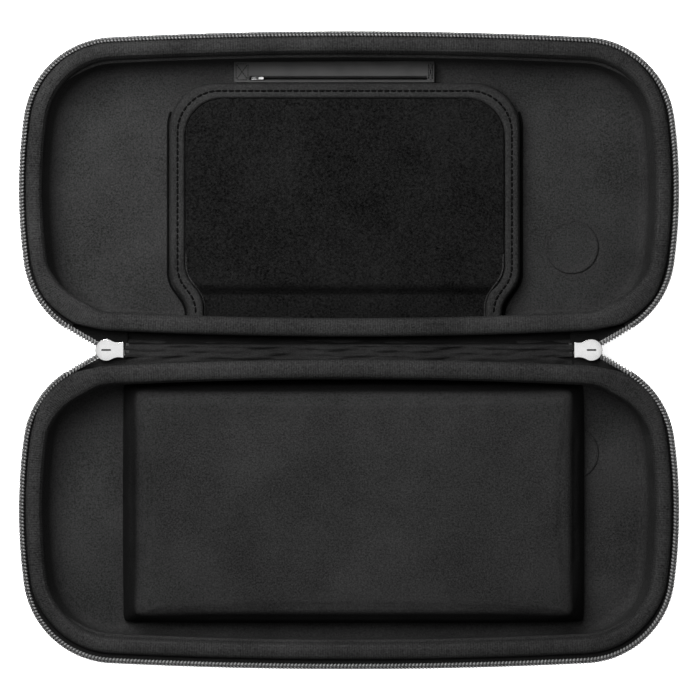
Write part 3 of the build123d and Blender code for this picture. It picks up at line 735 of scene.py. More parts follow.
def add_main_zip(half, side):
    """One half's side of the main zip: straight run, then both ends down into the spine."""
    start, stop = station_at(COIL_LEAVES), ROUND - station_at(COIL_LEAVES)
    turns = round((stop - start) / PITCH)
    s = start + np.arange(turns * TURN_STEPS + 1) * (stop - start) / (turns * TURN_STEPS)
    uv, out = outline(s, COIL_INSET)
    path = to_world(uv, COIL_MIDDLE, side)
    sideways = np.stack([out[:, 0], side * out[:, 1], np.zeros(len(s))], axis=1)
    head = np.tile([0.0, 0.0, 1.0], (len(s), 1))
    cord = []
    for turn in np.linspace(0, 2 * math.pi, 10, endpoint=False):
        cord.append((COIL_INSET + CORD_HALF * math.cos(turn), CORD_Z + CORD_RISE * math.sin(turn), 0, 0))
    dress(swept_strip(f"{half}_coil_cord", cord, side, start, stop, 700, CORD), half, "zip_coil")
    whole = slice(TURN_STEPS // 2, -(TURN_STEPS // 2)) if side < 0 else slice(None)
    coil = make(f"{half}_coil", *coil_mesh(path[whole], head[whole], sideways[whole]), COIL)
    dress(coil, half, "zip_coil", f"{half}_zip_coil")
    line = path + head * (COIL_REACH + STRAND - COIL_DENT + 0.05 * MM)
    phase = 0.0 if side < 0 else math.pi
    line[:, 2] += 0.1 * MM * np.cos(np.arange(len(line)) / TURN_STEPS * 2 * math.pi + phase)
    stitch = make(f"{half}_coil_stitch", *tube(line[:: TURN_STEPS // 7], 0.3 * MM, 6), COIL_STITCH)
    dress(stitch, half, "zip_coil")

    skirt = [
        (0.9 * MM, 27.4 * MM, 0, 0),
        (2.3 * MM, 27.2 * MM, 0, 0),
        (3.4 * MM, 26.6 * MM, 0, 0.4),
        (4.7 * MM, 24.6 * MM),
        (5.4 * MM, 21.0 * MM),
        (5.95 * MM, 17.0 * MM),
    ]
    back = [(inset + TAPE_THICK, z, *rest) for inset, z, *rest in skirt[:1:-1]]
    back += [(inset, z + TAPE_THICK, *rest) for inset, z, *rest in skirt[1::-1]]
    tape = swept_strip(f"{half}_tape", skirt + back, side, start - TAPE_LAP, stop + TAPE_LAP, 520, TAPE_AND_PAINTED_SHADOW)
    dress(tape, half, "zip_tape", f"{half}_zip_tape")

    for end_name, end in ENDS.items():
        line, gone, head_line = run_in_path(side, end)
        turns = round(gone[-1] / PITCH)
        steps = np.arange(-TURN_STEPS // 2 if side < 0 else 0, turns * TURN_STEPS + 1)
        distances = steps * gone[-1] / (turns * TURN_STEPS)
        path = at_distances(line, gone, distances)
        path += (line[0] - line[1]) / gone[1] * np.maximum(-distances, 0)[:, None]
        head = at_distances(head_line, gone, distances)
        sideways = -side * end * np.cross(unit(np.gradient(path, axis=0)), head)
        share = smoothstep(distances / gone[RUN_IN_STEPS - 1])
        half_thick = COIL_HALF_THICK + (COIL_HALF_IN_SLIDER - COIL_HALF_THICK) * share
        run_in = make(f"{half}_coil_end_{end_name}", *coil_mesh(path, head, sideways, half_thick), COIL)
        bend_at_spine(run_in)
        if side < 0:
            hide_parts(f"chain_tail_{end_name}")
        core = make(f"{half}_coil_end_cord_{end_name}", *tube(line, 0.7 * MM, 10), CORD)
        bend_at_spine(core)

        inner = line - head_line * (COIL_REACH + 0.2 * MM)
        x = np.abs(line[:, 0])
        share = np.clip(gone / gone[RUN_IN_STEPS - 1], 0, 1)
        low = 17.0 * MM + share * 4.0 * MM
        outline_s = np.array([station_at(u) for u in np.clip(x, CORNER[0] + 0.1 * MM, COIL_LEAVES)])
        _, out = outline(outline_s)
        reach = wall_inset(low) + 0.4 * MM + rim_shift(out[:, 1], side, low)
        uv, _ = outline(outline_s if end > 0 else ROUND - outline_s, reach)
        outer = to_world(uv, low, side)
        near = x < CORNER[0] + 0.1 * MM
        outer[near, 0] = line[near, 0]
        outer[near, 1] = side * hinge_wall(x[near], reach[near])
        across = np.linspace(0, 1, 8)[None, :, None]
        web = inner[:, None] * (1 - across) + outer[:, None] * across
        web[..., 2] += -1.2 * MM * np.sin(math.pi * across[..., 0]) * share[:, None]
        cloth = TAPE_AND_PAINTED_SHADOW if side > 0 else SPINE
        web_tape = slab(f"{half}_tape_end_{end_name}", web[x >= 105 * MM], TAPE_THICK, cloth)
        bend_at_spine(web_tape)


for half, side in SIDES.items():
    add_main_zip(half, side)


# ---------------------------------------------------------------- spine

PAINTED_SHADOW_FROM = 2.7 * MM  # from here the lining beside the lid takes the black tape's material, as painted shadow in the fold


# Rows of each cloth in mm: (distance from the hinge line, height), then (distance out from the wall, height)
LINING_ROWS = {
    -1: (
        [(0.0, 24.45), (1.2, 24.35), (2.4, 24.45), (3.3, 24.4), (4.0, 24.45), (4.7, 24.4)],
        [(0.9, 24.0), (0.35, 23.0), (0.3, 22.2)],
    ),
    1: (
        [(0.0, 24.45), (1.0, 24.35), (1.8, 24.4), (2.4, 23.6), (3.1, 21.7), (4.2, 20.9)],
        [(0.9, 17.2), (0.35, 16.2), (0.3, 15.4)],
    ),
}
OUTER_ROWS = (
    [(0.0, 20.75), (1.8, 20.75), (3.5, 20.6), (4.5, 19.6), (4.9, 17.6), (5.3, 15.6), (6.2, 14.6)],
    [(0.5, 14.2), (0.2, 12.5), (0.2, 9.8)],
)


def add_spine(half, side):
    """Lining and outer cloth of the spine from its middle to one shell, and the gussets at its ends."""
    x = np.linspace(-106.2, 106.2, 300) * MM
    taper = smoothstep((np.abs(x) / MM - 96) / 10)
    sheets = []
    layers = (("lining", LINING_ROWS[side], 41, 0.66), ("outer", OUTER_ROWS, 43, 0.22))
    for layer, (free_rows, wall_rows), seed, crease in layers:
        rows = [(*row, False) for row in free_rows] + [(*row, True) for row in wall_rows]
        columns = []
        for away, z, from_wall in rows:
            height = np.full(len(x), z * MM)
            if from_wall:
                inset = wall_inset(height) - away * MM + rim_shift(np.full(len(x), -1.0), side, height)
                distance = hinge_wall(x, inset)
            else:
                distance = np.full(len(x), away * MM)
            if layer == "lining" and (from_wall or away > 3.5):
                height = np.maximum(height - 3.0 * MM * taper, 17.2 * MM)
            columns.append(np.stack([x, side * distance, height], axis=1))
        grid = np.stack(columns, axis=1)
        fine = np.linspace(0, len(rows) - 1, 4 * len(rows))
        k = np.minimum(fine.astype(int), len(rows) - 2)
        part = (fine - k)[None, :, None]
        grid = grid[:, k] * (1 - part) + grid[:, k + 1] * part
        free = np.clip((6.5 * MM - np.abs(grid[..., 1])) / (3 * MM), 0, 1)
        stretched = grid * np.array([0.16, 1.0, 0.3])
        folds = smooth_noise(stretched.reshape(-1, 3), 3.0 * MM, seed).reshape(free.shape)
        longer = grid * np.array([1, 0.5, 1])
        slow = smooth_noise(longer.reshape(-1, 3), 14 * MM, seed + 1).reshape(free.shape)
        sharp = np.sign(folds) * np.abs(folds) ** 0.7
        grid[..., 2] += (crease * sharp + 0.14 * slow) * free * MM
        thickness = 0.45 * MM * side * (1 if layer == "lining" else -1)
        sheets.append(grid)
        sheet = slab(f"spine_{layer}_{half}_side", grid, thickness, SPINE)
        # beside the lid, the lining's faces further from the hinge take the black tape's material: painted
        # shadow in the fold
        if layer == "lining" and side > 0:
            sheet.data.materials.append(TAPE_AND_PAINTED_SHADOW)
            for face in sheet.data.polygons:
                face.material_index = int(face.center.y > PAINTED_SHADOW_FROM)
        bend_at_spine(sheet)
        if layer == "lining":
            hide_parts("spine_lining", "spine_core", f"{half}_hinge_hem")
        else:
            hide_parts("spine_outer")
    for end_name, end in (("left", 0), ("right", -1)):
        edges = []
        for grid in sheets:
            row = grid[end]
            place = np.linspace(0, len(row) - 1, 24)
            edges.append(at_distances(row, np.arange(len(row)), place))
        across = np.linspace(0, 1, 10)[:, None, None]
        gusset = edges[0] * (1 - across) + edges[1] * across
        gusset[..., 0] *= 1 - 0.006 * np.sin(math.pi * across[..., 0])
        cap = slab(f"spine_end_{end_name}_{half}_side", gusset, 0.35 * MM, SPINE)
        bend_at_spine(cap)


for half, side in SIDES.items():
    add_spine(half, side)


# ---------------------------------------------------------------- main sliders

def apply_modifiers(obj):
    """The object's mesh as its modifiers leave it."""
    graph = bpy.context.evaluated_depsgraph_get()
    mesh = bpy.data.meshes.new_from_object(obj.evaluated_get(graph))
    obj.modifiers.clear()
    obj.data = mesh
    mesh.polygons.foreach_set("use_smooth", [True] * len(mesh.polygons))
    return obj


def crisp(obj):
    """Sharp shading across a hard piece's edges."""
    obj.data.set_sharp_from_angle(angle=math.radians(32))
    return obj


def outline_normals(loop):
    """Outward normals of an anticlockwise closed loop of (x, y)."""
    along = np.roll(loop, -1, axis=0) - np.roll(loop, 1, axis=0)
    return unit(np.stack([along[:, 1], -along[:, 0]], axis=1))


def plate(loop, low, high, bevel, groove=None):
    """Points and faces of a plate with rounded edges. A groove is (inset, width, depth), round its top."""
    loop = np.asarray(loop, float)
    normal = outline_normals(loop)
    turns = np.linspace(0, math.pi / 2, 4)
    levels = [(bevel * (1 - math.sin(a)), low + bevel * (1 - math.cos(a))) for a in turns]
    levels += [(bevel * (1 - math.cos(a)), high - bevel * (1 - math.sin(a))) for a in turns]
    if groove:
        inset, width, depth = groove
        levels += [(inset, high), (inset + width / 3, high - depth)]
        levels += [(inset + 2 * width / 3, high - depth), (inset + width, high)]
    rings = [raised(loop - normal * i, z) for i, z in levels]
    return np.concatenate(rings), capped_faces(len(rings), len(loop))


def slider_loop(end):
    """Plan of a slider: round nose, concave shoulders, and a tail that flares a little to its end."""
    nose_x, nose_r = 115.0, 5.3
    tail_x, tail_half = 106.6, 3.9
    neck_half = 3.55
    nose = arc_points((nose_x, 0), nose_r, -2.05, 2.05, 34)
    x, y = nose[-1]
    shoulder = [
        (x + (tail_x + 0.5 - x) * k, neck_half + (y - neck_half) * (1 - k) ** 3 + 0.35 * k**3)
        for k in np.linspace(0, 1, 12)[1:]
    ]
    corner = [(tail_x + 0.1, tail_half - 0.12), (tail_x, tail_half - 0.5)]
    tail = [(tail_x, k) for k in np.linspace(2.6, 0, 4)]
    upper = shoulder + corner + tail
    lower = [(x, -y) for x, y in upper[:-1]][::-1]
    loop = np.array(nose + upper + lower) * MM
    if end < 0:
        loop = loop[::-1] * np.array([-1, 1])
    return loop


def box_points(low, high):
    """Corners and faces of a box."""
    (x0, y0, z0), (x1, y1, z1) = low, high
    points = [(x, y, z) for z in (z0, z1) for x, y in ((x0, y0), (x1, y0), (x1, y1), (x0, y1))]
    faces = [(0, 3, 2, 1), (4, 5, 6, 7), (0, 1, 5, 4), (1, 2, 6, 5), (2, 3, 7, 6), (3, 0, 4, 7)]
    return np.array(points), [list(f) for f in faces]


def soften(obj, width, segments=3):
    """Rounded edges on a hard piece."""
    bevel = obj.modifiers.new("bevel", "BEVEL")
    bevel.width = width
    bevel.segments = segments
    bevel.limit_method = "ANGLE"
    return apply_modifiers(obj)


def cut(obj, tool):
    """Takes a tool's shape out of an object and removes the tool."""
    boolean = obj.modifiers.new("cut", "BOOLEAN")
    boolean.operation = "DIFFERENCE"
    boolean.object = tool
    apply_modifiers(obj)
    bpy.data.objects.remove(tool)
    return obj


def carve(obj, low, high, rounding=0.0):
    """Takes a box, with its edges rounded if asked, out of an object."""
    tool = make("tool", *box_points(low, high), obj.data.materials[0])
    if rounding:
        soften(tool, rounding, 4)
    return cut(obj, tool)


def staple(name, node, middle, y, radius, steps, sides, widen, hangs):
    """A bent wire that fills a bridge's box from its middle, flattened sideways; it may hang down."""
    low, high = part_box(node)
    a = np.linspace(0, math.pi, steps)
    across = -np.sign(np.cos(a)) * np.abs(np.cos(a)) ** 0.6
    rise = np.abs(np.sin(a)) ** 0.5 * (high.z - low.z - radius)
    x = middle + ((high.x - low.x) / 2 - radius) * across
    z = high.z - rise if hangs else low.z + rise
    points, faces = tube(np.stack([x, np.full(steps, y), z], axis=1), radius, sides)
    points[:, 1] = y + (points[:, 1] - y) * widen
    return make(name, points, faces, NICKEL)


def capsule_loop(centre, length, width, steps=10):
    """A slot's plan, long in x."""
    straight = (length - width) / 2
    right = arc_points((straight, 0), width / 2, -math.pi / 2, math.pi / 2, steps)
    left = [(-x, -y) for x, y in right]
    return np.array(right + left) + np.array(centre)


def pull_outline(length, width, waist):
    """Plan of a pull: rounded ends and a slightly drawn-in waist; the eye is at the top."""
    y = np.linspace(-length, 0, 30)
    share = (y + length) / length
    half = width / 2 - waist * np.sin(math.pi * share) ** 2
    round_end = np.sqrt(np.clip(1 - (np.clip(0.16 - share, 0, None) / 0.16) ** 2, 0.02, 1))
    round_top = np.sqrt(np.clip(1 - (np.clip(share - 0.88, 0, None) / 0.12) ** 2, 0.02, 1))
    half = half * round_end * round_top
    return np.concatenate([np.stack([half, y], 1), np.stack([-half, y], 1)[::-1]])


def add_slider(end_name, end):
    """A main slider: two plates, the channel between them, the bridge, and the pull on its own body."""
    body_low, body_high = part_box(f"slider_body_{end_name}")
    thick = 1.0 * MM
    loop = slider_loop(end)
    upper = plate(loop, body_high.z - thick, body_high.z, 0.32 * MM)
    lower = plate(loop, body_low.z, body_low.z + thick, 0.25 * MM)
    # the plates have shade painted in their slot and down their edges
    body = make(f"slider_plates_{end_name}", *join_parts([upper, lower]), NICKEL_PAINTED_SHADE)
    slot_loop = capsule_loop((end * 115.0 * MM, 0), 4.6 * MM, 0.8 * MM)
    slot = plate(slot_loop, body_high.z - 0.5 * MM, body_high.z + MM, 0.05 * MM)
    crisp(cut(body, make("slot_tool", *slot, NICKEL_PAINTED_SHADE)))
    dress(body, f"slider_{end_name}", "slider_metal", f"slider_body_{end_name}")
    gap_low, gap_high = body_low.z + thick - 0.05 * MM, body_high.z - thick + 0.05 * MM
    walls = []
    for edge in (-1, 1):
        y = sorted((edge * 2.95 * MM, edge * 3.55 * MM))
        x = sorted((end * 107.2 * MM, end * 112.6 * MM))
        walls.append(box_points((x[0], y[0], gap_low), (x[1], y[1], gap_high)))
    walls.append(plate(capsule_loop((end * POST_X, 0), 2.3 * MM, 2.2 * MM), gap_low, gap_high, 0.02 * MM))
    inside = make(f"slider_channel_{end_name}", *join_parts(walls), NICKEL)
    dress(crisp(soften(inside, 0.12 * MM, 2)), f"slider_{end_name}", "slider_metal")

    bridge_node = f"slider_bridge_{end_name}"
    middle = sum(corner.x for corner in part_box(bridge_node)) / 2
    bridge = staple(f"slider_staple_{end_name}", bridge_node, middle, 0.0, 0.5 * MM, 22, 12, 1.9, True)
    dress(bridge, f"slider_{end_name}", "slider_metal", bridge_node)

    pull_low, pull_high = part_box(f"slider_pull_{end_name}")
    width, length = pull_high.y - pull_low.y, pull_high.z - pull_low.z
    thickness = pull_high.x - pull_low.x
    plan = pull_outline(length, width, 0.45 * MM)
    groove = (0.7 * MM, 0.3 * MM, 0.08 * MM)
    points, faces = plate(plan, -thickness / 2, thickness / 2, 0.3 * MM, groove)
    middle_x = (pull_low.x + pull_high.x) / 2
    turned = np.stack([middle_x + points[:, 2], points[:, 0], pull_high.z + points[:, 1]], axis=1)
    pull = make(f"slider_tab_{end_name}", turned, faces, NICKEL)
    eye_low = (middle_x - 2 * MM, -1.4 * MM, pull_high.z - 6.1 * MM)
    eye_high = (middle_x + 2 * MM, 1.4 * MM, pull_high.z - 1.2 * MM)
    crisp(carve(pull, eye_low, eye_high, 0.9 * MM))
    dress(pull, f"pull_{end_name}", "slider_metal", f"slider_pull_{end_name}")


for end_name, end in ENDS.items():
    add_slider(end_name, end)


# ---------------------------------------------------------------- padded pieces

CLOTH = {
    "quality": 5,
    "mass": 0.15,
    "tension_stiffness": 8,
    "compression_stiffness": 8,
    "shear_stiffness": 4,
    "bending_stiffness": 0.4,
    "use_pressure": True,
}


def inflate(obj, voxel, pressure, cap, pinned, side):
    """Remeshes a padded piece evenly, swells it with a cloth simulation except where it is pinned, caps how
    far it moves, keeps it off the liner and smooths it."""
    remesh = obj.modifiers.new("remesh", "REMESH")
    remesh.mode = "VOXEL"
    remesh.voxel_size = voxel
    apply_modifiers(obj)
    rest = np.array([v.co for v in obj.data.vertices])
    group = obj.vertex_groups.new(name="held")
    group.add([int(k) for k in np.nonzero(pinned(rest))[0]], 1.0, "REPLACE")
    cloth = obj.modifiers.new("cloth", "CLOTH")
    for key, value in {**CLOTH, "uniform_pressure_force": pressure}.items():
        setattr(cloth.settings, key, value)
    cloth.settings.effector_weights.gravity = 0
    cloth.settings.vertex_group_mass = "held"
    for frame_number in range(1, 21):
        bpy.context.scene.frame_set(frame_number)
    apply_modifiers(obj)
    obj.vertex_groups.clear()
    swollen = np.array([v.co for v in obj.data.vertices])
    bpy.context.scene.frame_set(1)
    move = swollen - rest
    far = np.linalg.norm(move, axis=1)[:, None]
    move *= np.minimum(1, cap / np.maximum(far, 1e-9))
    rest = rest + move
    obj.data.vertices.foreach_set("co", keep_inside(rest, side, 0.05 * MM).ravel())
    smooth = obj.modifiers.new("smooth", "SUBSURF")
    smooth.levels = 1
    return apply_modifiers(obj)


def add_insert():
    """The covered block in the base, its ends leaning in more than its long sides."""
    low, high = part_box("insert_cover")
    foot_z, top_z = low.z, high.z
    lean, corner, rounding = 5.6 * MM, 3.0 * MM, 2.6 * MM
    middle = np.array([2.3, -72.7]) * MM
    half = np.array([111.5, 58.8]) * MM
    levels = [(0.0, foot_z), (0.0, foot_z + 1.0 * MM)]
    levels += [(lean * k, foot_z + (top_z - foot_z) * k) for k in (0.2, 0.4, 0.6, 0.75)]
    side_top = np.array([lean, top_z])
    start = np.array([lean * 0.86, foot_z + (top_z - foot_z) * 0.86])
    stop = np.array([lean + rounding, top_z])
    for k in np.linspace(0, 1, 6):
        levels.append(tuple((1 - k) ** 2 * start + 2 * (1 - k) * k * side_top + k * k * stop))
    levels += [(lean + rounding + step * MM, top_z) for step in (3, 9, 18, 30)]
    rings = []
    for inset, z in levels:
        reach = half - inset * np.array([1.45, 1.0])
        ring = []
        for quarter, signs in enumerate(((1, 1), (-1, 1), (-1, -1), (1, -1))):
            first = quarter * math.pi / 2
            ring += arc_points(np.array(signs) * (reach - corner), corner, first, first + math.pi / 2, 7)
        rings.append(raised(np.array(ring) + middle, z))
    # its cloth has shade painted on its sides
    cover = make("insert_padding", np.concatenate(rings), capped_faces(len(rings), len(rings[0])), INSERT_PAINTED_SHADE)
    inflate(cover, 2.2 * MM, 1.4, 0.75 * MM, lambda p: p[:, 2] < foot_z + 2.0 * MM, -1)
    dress(cover, "base", "insert_fabric", "insert_cover", "insert_foam")


add_insert()


POCKET_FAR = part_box("pocket_frame")[1].y
POCKET_MIDDLE = -2.0 * MM


def pocket_line(inset, foot=12.0 * MM):
    """Stations along the pocket's outline, drawn in by an inset, from the left foot round to the right."""
    half = 84.0 * MM - inset
    far = POCKET_FAR - inset
    waist = inset * math.tan(math.radians(22.5))
    left_down = [(-half + 8.7 * MM, foot), (-half + 8.7 * MM, 21.5 * MM + waist), (-half, 33.0 * MM + waist)]
    corners = left_down + [(-half, far), (half, far)] + [(-x, y) for x, y in left_down[::-1]]
    bend = 15 * MM
    radii = [0, bend, bend, 22 * MM - inset / 2, 22 * MM - inset / 2, bend, bend, 0]
    lengths = [5, 6, 50, 100, 50, 6, 5]
    corners = np.array(corners)
    ends = [corners[0]]
    arcs = []
    for k in range(1, len(corners) - 1):
        before, here, after = corners[k - 1], corners[k], corners[k + 1]
        into, out = unit(here - before), unit(after - here)
        turn = math.acos(np.clip(np.dot(into, out), -1, 1))
        trim = radii[k] * math.tan(turn / 2)
        first, last = here - into * trim, here + out * trim
        t = np.linspace(0, 1, 9 if radii[k] == bend else 27)
        way = into[0] * out[1] - into[1] * out[0]
        hub = first + np.array([-into[1], into[0]]) * math.copysign(radii[k], way)
        spin = math.copysign(turn, way)
        arm = first - hub
        cos, sin = np.cos(spin * t), np.sin(spin * t)
        arcs.append(list(hub + np.stack([arm[0] * cos - arm[1] * sin, arm[0] * sin + arm[1] * cos], axis=1)))
        ends += [first, last]
    ends.append(corners[-1])
    line = []
    for k, steps in enumerate(lengths):
        a, b = ends[2 * k], ends[2 * k + 1]
        line += [a + (b - a) * q for q in np.linspace(0, 1, steps, endpoint=False)]
        if k < len(arcs):
            line += arcs[k][:-1]
    return np.array(line + [ends[-1]]) + np.array([POCKET_MIDDLE, 0])


def half_widths(line, y):
    """Half the pocket's width inside a line round it, at each y."""
    left = line[: len(line) // 2 + 1]
    return POCKET_MIDDLE - np.interp(y, np.maximum.accumulate(left[:, 1]), left[:, 0])


def thread_line(points, normals, spacing, length, radius):
    """Separate stitches laid along a dense line on a surface."""
    gone = distances_along(points)
    share = np.linspace(0, 1, 6)
    lift = radius * (1.1 * np.sin(math.pi * share) ** 0.6 - 0.75)
    parts = []
    for start in np.arange(spacing / 2, gone[-1] - length, spacing):
        at = start + share * length
        middle = at_distances(points, gone, at)
        parts.append(tube(middle + at_distances(normals, gone, at) * lift[:, None], radius, 6))
    return join_parts(parts)


def dropped_on(obj, points, above=60 * MM):
    """Points moved down on to an object's surface, with its normals there."""
    mesh = obj.data
    tree = BVHTree.FromPolygons([v.co for v in mesh.vertices], [p.vertices for p in mesh.polygons])
    landed, normals = [], []
    for x, y in points:
        place, normal, _, _ = tree.ray_cast(Vector((x, y, above)), Vector((0, 0, -1)))
        landed.append(place if place else (x, y, 0))
        normals.append(normal if normal else (0, 0, 1))
    return np.array([tuple(p) for p in landed]), np.array([tuple(n) for n in normals])


def add_pocket():
    """The pocket in the lid: padded frame, stitches, plush, piping, painted shadow round its foot, back
    cloth.
    """
    frame_low, frame_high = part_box("pocket_frame")
    bottom, top = frame_low.z, frame_high.z
    band, stitch = 7.8 * MM, 4.1 * MM
    crown = [(0.05, 2.6), (0.5, 1.2), (1.5, 0.35), (2.6, 0.15), (3.5, 0.7)]
    inner_crown = [(4.7, 0.7), (5.6, 0.25), (6.8, 0.35)]
    profile = [(0.0, bottom), (0.0, bottom + 3.2 * MM)]
    profile += [(inset * MM, top - drop * MM) for inset, drop in crown]
    profile += [(stitch, top - 1.3 * MM)]
    profile += [(inset * MM, top - drop * MM) for inset, drop in inner_crown]
    profile += [(band, top - 1.3 * MM), (band, bottom + 3.0 * MM), (band, bottom)]
    grid = np.stack([raised(pocket_line(inset), z) for inset, z in profile], axis=1)
    padding = make("pocket_padding", grid.reshape(-1, 3), capped_faces(*grid.shape[:2]), BAND)
    seam = pocket_line(stitch)

    def held(points):
        near = np.array([np.min(np.hypot(*(seam - p[:2]).T)) for p in points])
        return (points[:, 2] < bottom + 1.5 * MM) | (near < 0.55 * MM)

    inflate(padding, 1.3 * MM, 2.0, 0.7 * MM, held, 1)
    dress(padding, "lid", "lining", "pocket_frame")

    path, normals = dropped_on(padding, pocket_line(stitch, 16.5 * MM))
    threads = make("pocket_stitches", *thread_line(path, normals, 3.1 * MM, 2.2 * MM, 0.5 * MM), THREAD_AND_PAINTED_SHADOW)
    dress(threads, "lid", "binding")
    # a dark tube round the pocket's foot is painted shadow: thin on the left, wider on the right where the
    # shadow falls, stopped short of the far side
    foot_line = raised(pocket_line(-1.1 * MM, 18 * MM), bottom + 0.3 * MM)
    foot_line = keep_inside(foot_line[foot_line[:, 1] < POCKET_FAR - 13 * MM], 1, 0.3 * MM)
    on_left = foot_line[:, 0] < 0
    painted_shadows = [tube(foot_line[on_left], 0.45 * MM, 8), tube(foot_line[~on_left], 0.6 * MM, 8)]
    dress(make("pocket_foot_painted_shadow", *join_parts(painted_shadows), THREAD_AND_PAINTED_SHADOW), "lid", "binding")

    edge = pocket_line(band + 0.1 * MM)
    y = np.concatenate([np.linspace(14.6, 34, 40) * MM, np.linspace(34.5, 100, 100) * MM])
    far = edge[:, 1].max()
    y = np.concatenate([y, far - (far - 100 * MM) * (1 - np.linspace(0, 1, 60)[1:]) ** 2])
    y[-1] = far - 0.01 * MM
    grid_x = POCKET_MIDDLE + half_widths(edge, y)[:, None] * np.linspace(-1, 1, 240)[None, :]
    grid_y = np.broadcast_to(y[:, None], grid_x.shape)
    fold_y = np.array([14.6, 15.6, 20.0, 26.0, 27.2, 28.6, 30.4, 31.6, 33.0]) * MM
    fold_z = np.array([6.4, 6.9, 7.3, 7.9, 8.2, 9.4, 11.3, 12.1, 12.2]) * MM
    slope = np.interp(y, fold_y, fold_z)
    z = np.broadcast_to(slope[:, None], grid_x.shape).copy()
    flat = np.stack([grid_x, grid_y, np.zeros_like(z)], axis=-1).reshape(-1, 3)
    uneven = smooth_noise(flat, 16 * MM, 61) * 0.12 + smooth_noise(flat, 5 * MM, 62) * 0.06
    z += uneven.reshape(z.shape) * MM
    panel = slab("pocket_plush", np.stack([grid_x, grid_y, z], axis=-1), 1.0 * MM, PLUSH)
    dress(panel, "lid", "plush", "pocket_panel")

    line, normals = dropped_on(panel, pocket_line(8.2 * MM, 15.2 * MM))
    line[:, 2] = np.maximum(line[:, 2], np.interp(line[:, 1], y, slope))
    line[:, 2] += (0.25 - 1.3 * smoothstep((line[:, 1] - 36 * MM) / (20 * MM))) * MM
    near = line[:, 1] < 60 * MM
    left_of_middle = line[:, 0] < POCKET_MIDDLE
    pipes = [tube(line[near & part], 0.42 * MM, 8) for part in (left_of_middle, ~left_of_middle)]
    dress(make("pocket_piping", *join_parts(pipes), PIPING), "lid", "binding")

    back_low, back_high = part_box("pocket_backing")
    outer_line = pocket_line(0.6 * MM)
    y = np.linspace(14.5 * MM, outer_line[:, 1].max() - 0.1 * MM, 90)
    grid_x = POCKET_MIDDLE + half_widths(outer_line, y)[:, None] * np.linspace(-1, 1, 60)[None, :]
    grid_y = np.broadcast_to(y[:, None], grid_x.shape)
    points = np.stack([grid_x, grid_y, np.full(grid_x.shape, back_high.z)], axis=-1)
    ripple = smooth_noise(points.reshape(-1, 3), 14 * MM, 71).reshape(grid_x.shape)
    points[..., 2] -= (0.05 + 0.05 * ripple) * MM
    points = keep_inside(points.reshape(-1, 3), 1, 0.45 * MM).reshape(points.shape)
    points[..., 2] = np.maximum(points[..., 2], back_low.z + 0.5 * MM)
    backing = slab("pocket_back_cloth", points, 0.4 * MM, LINING)
    dress(backing, "lid", "lining", "pocket_backing")


add_pocket()


# ---------------------------------------------------------------- pocket zip

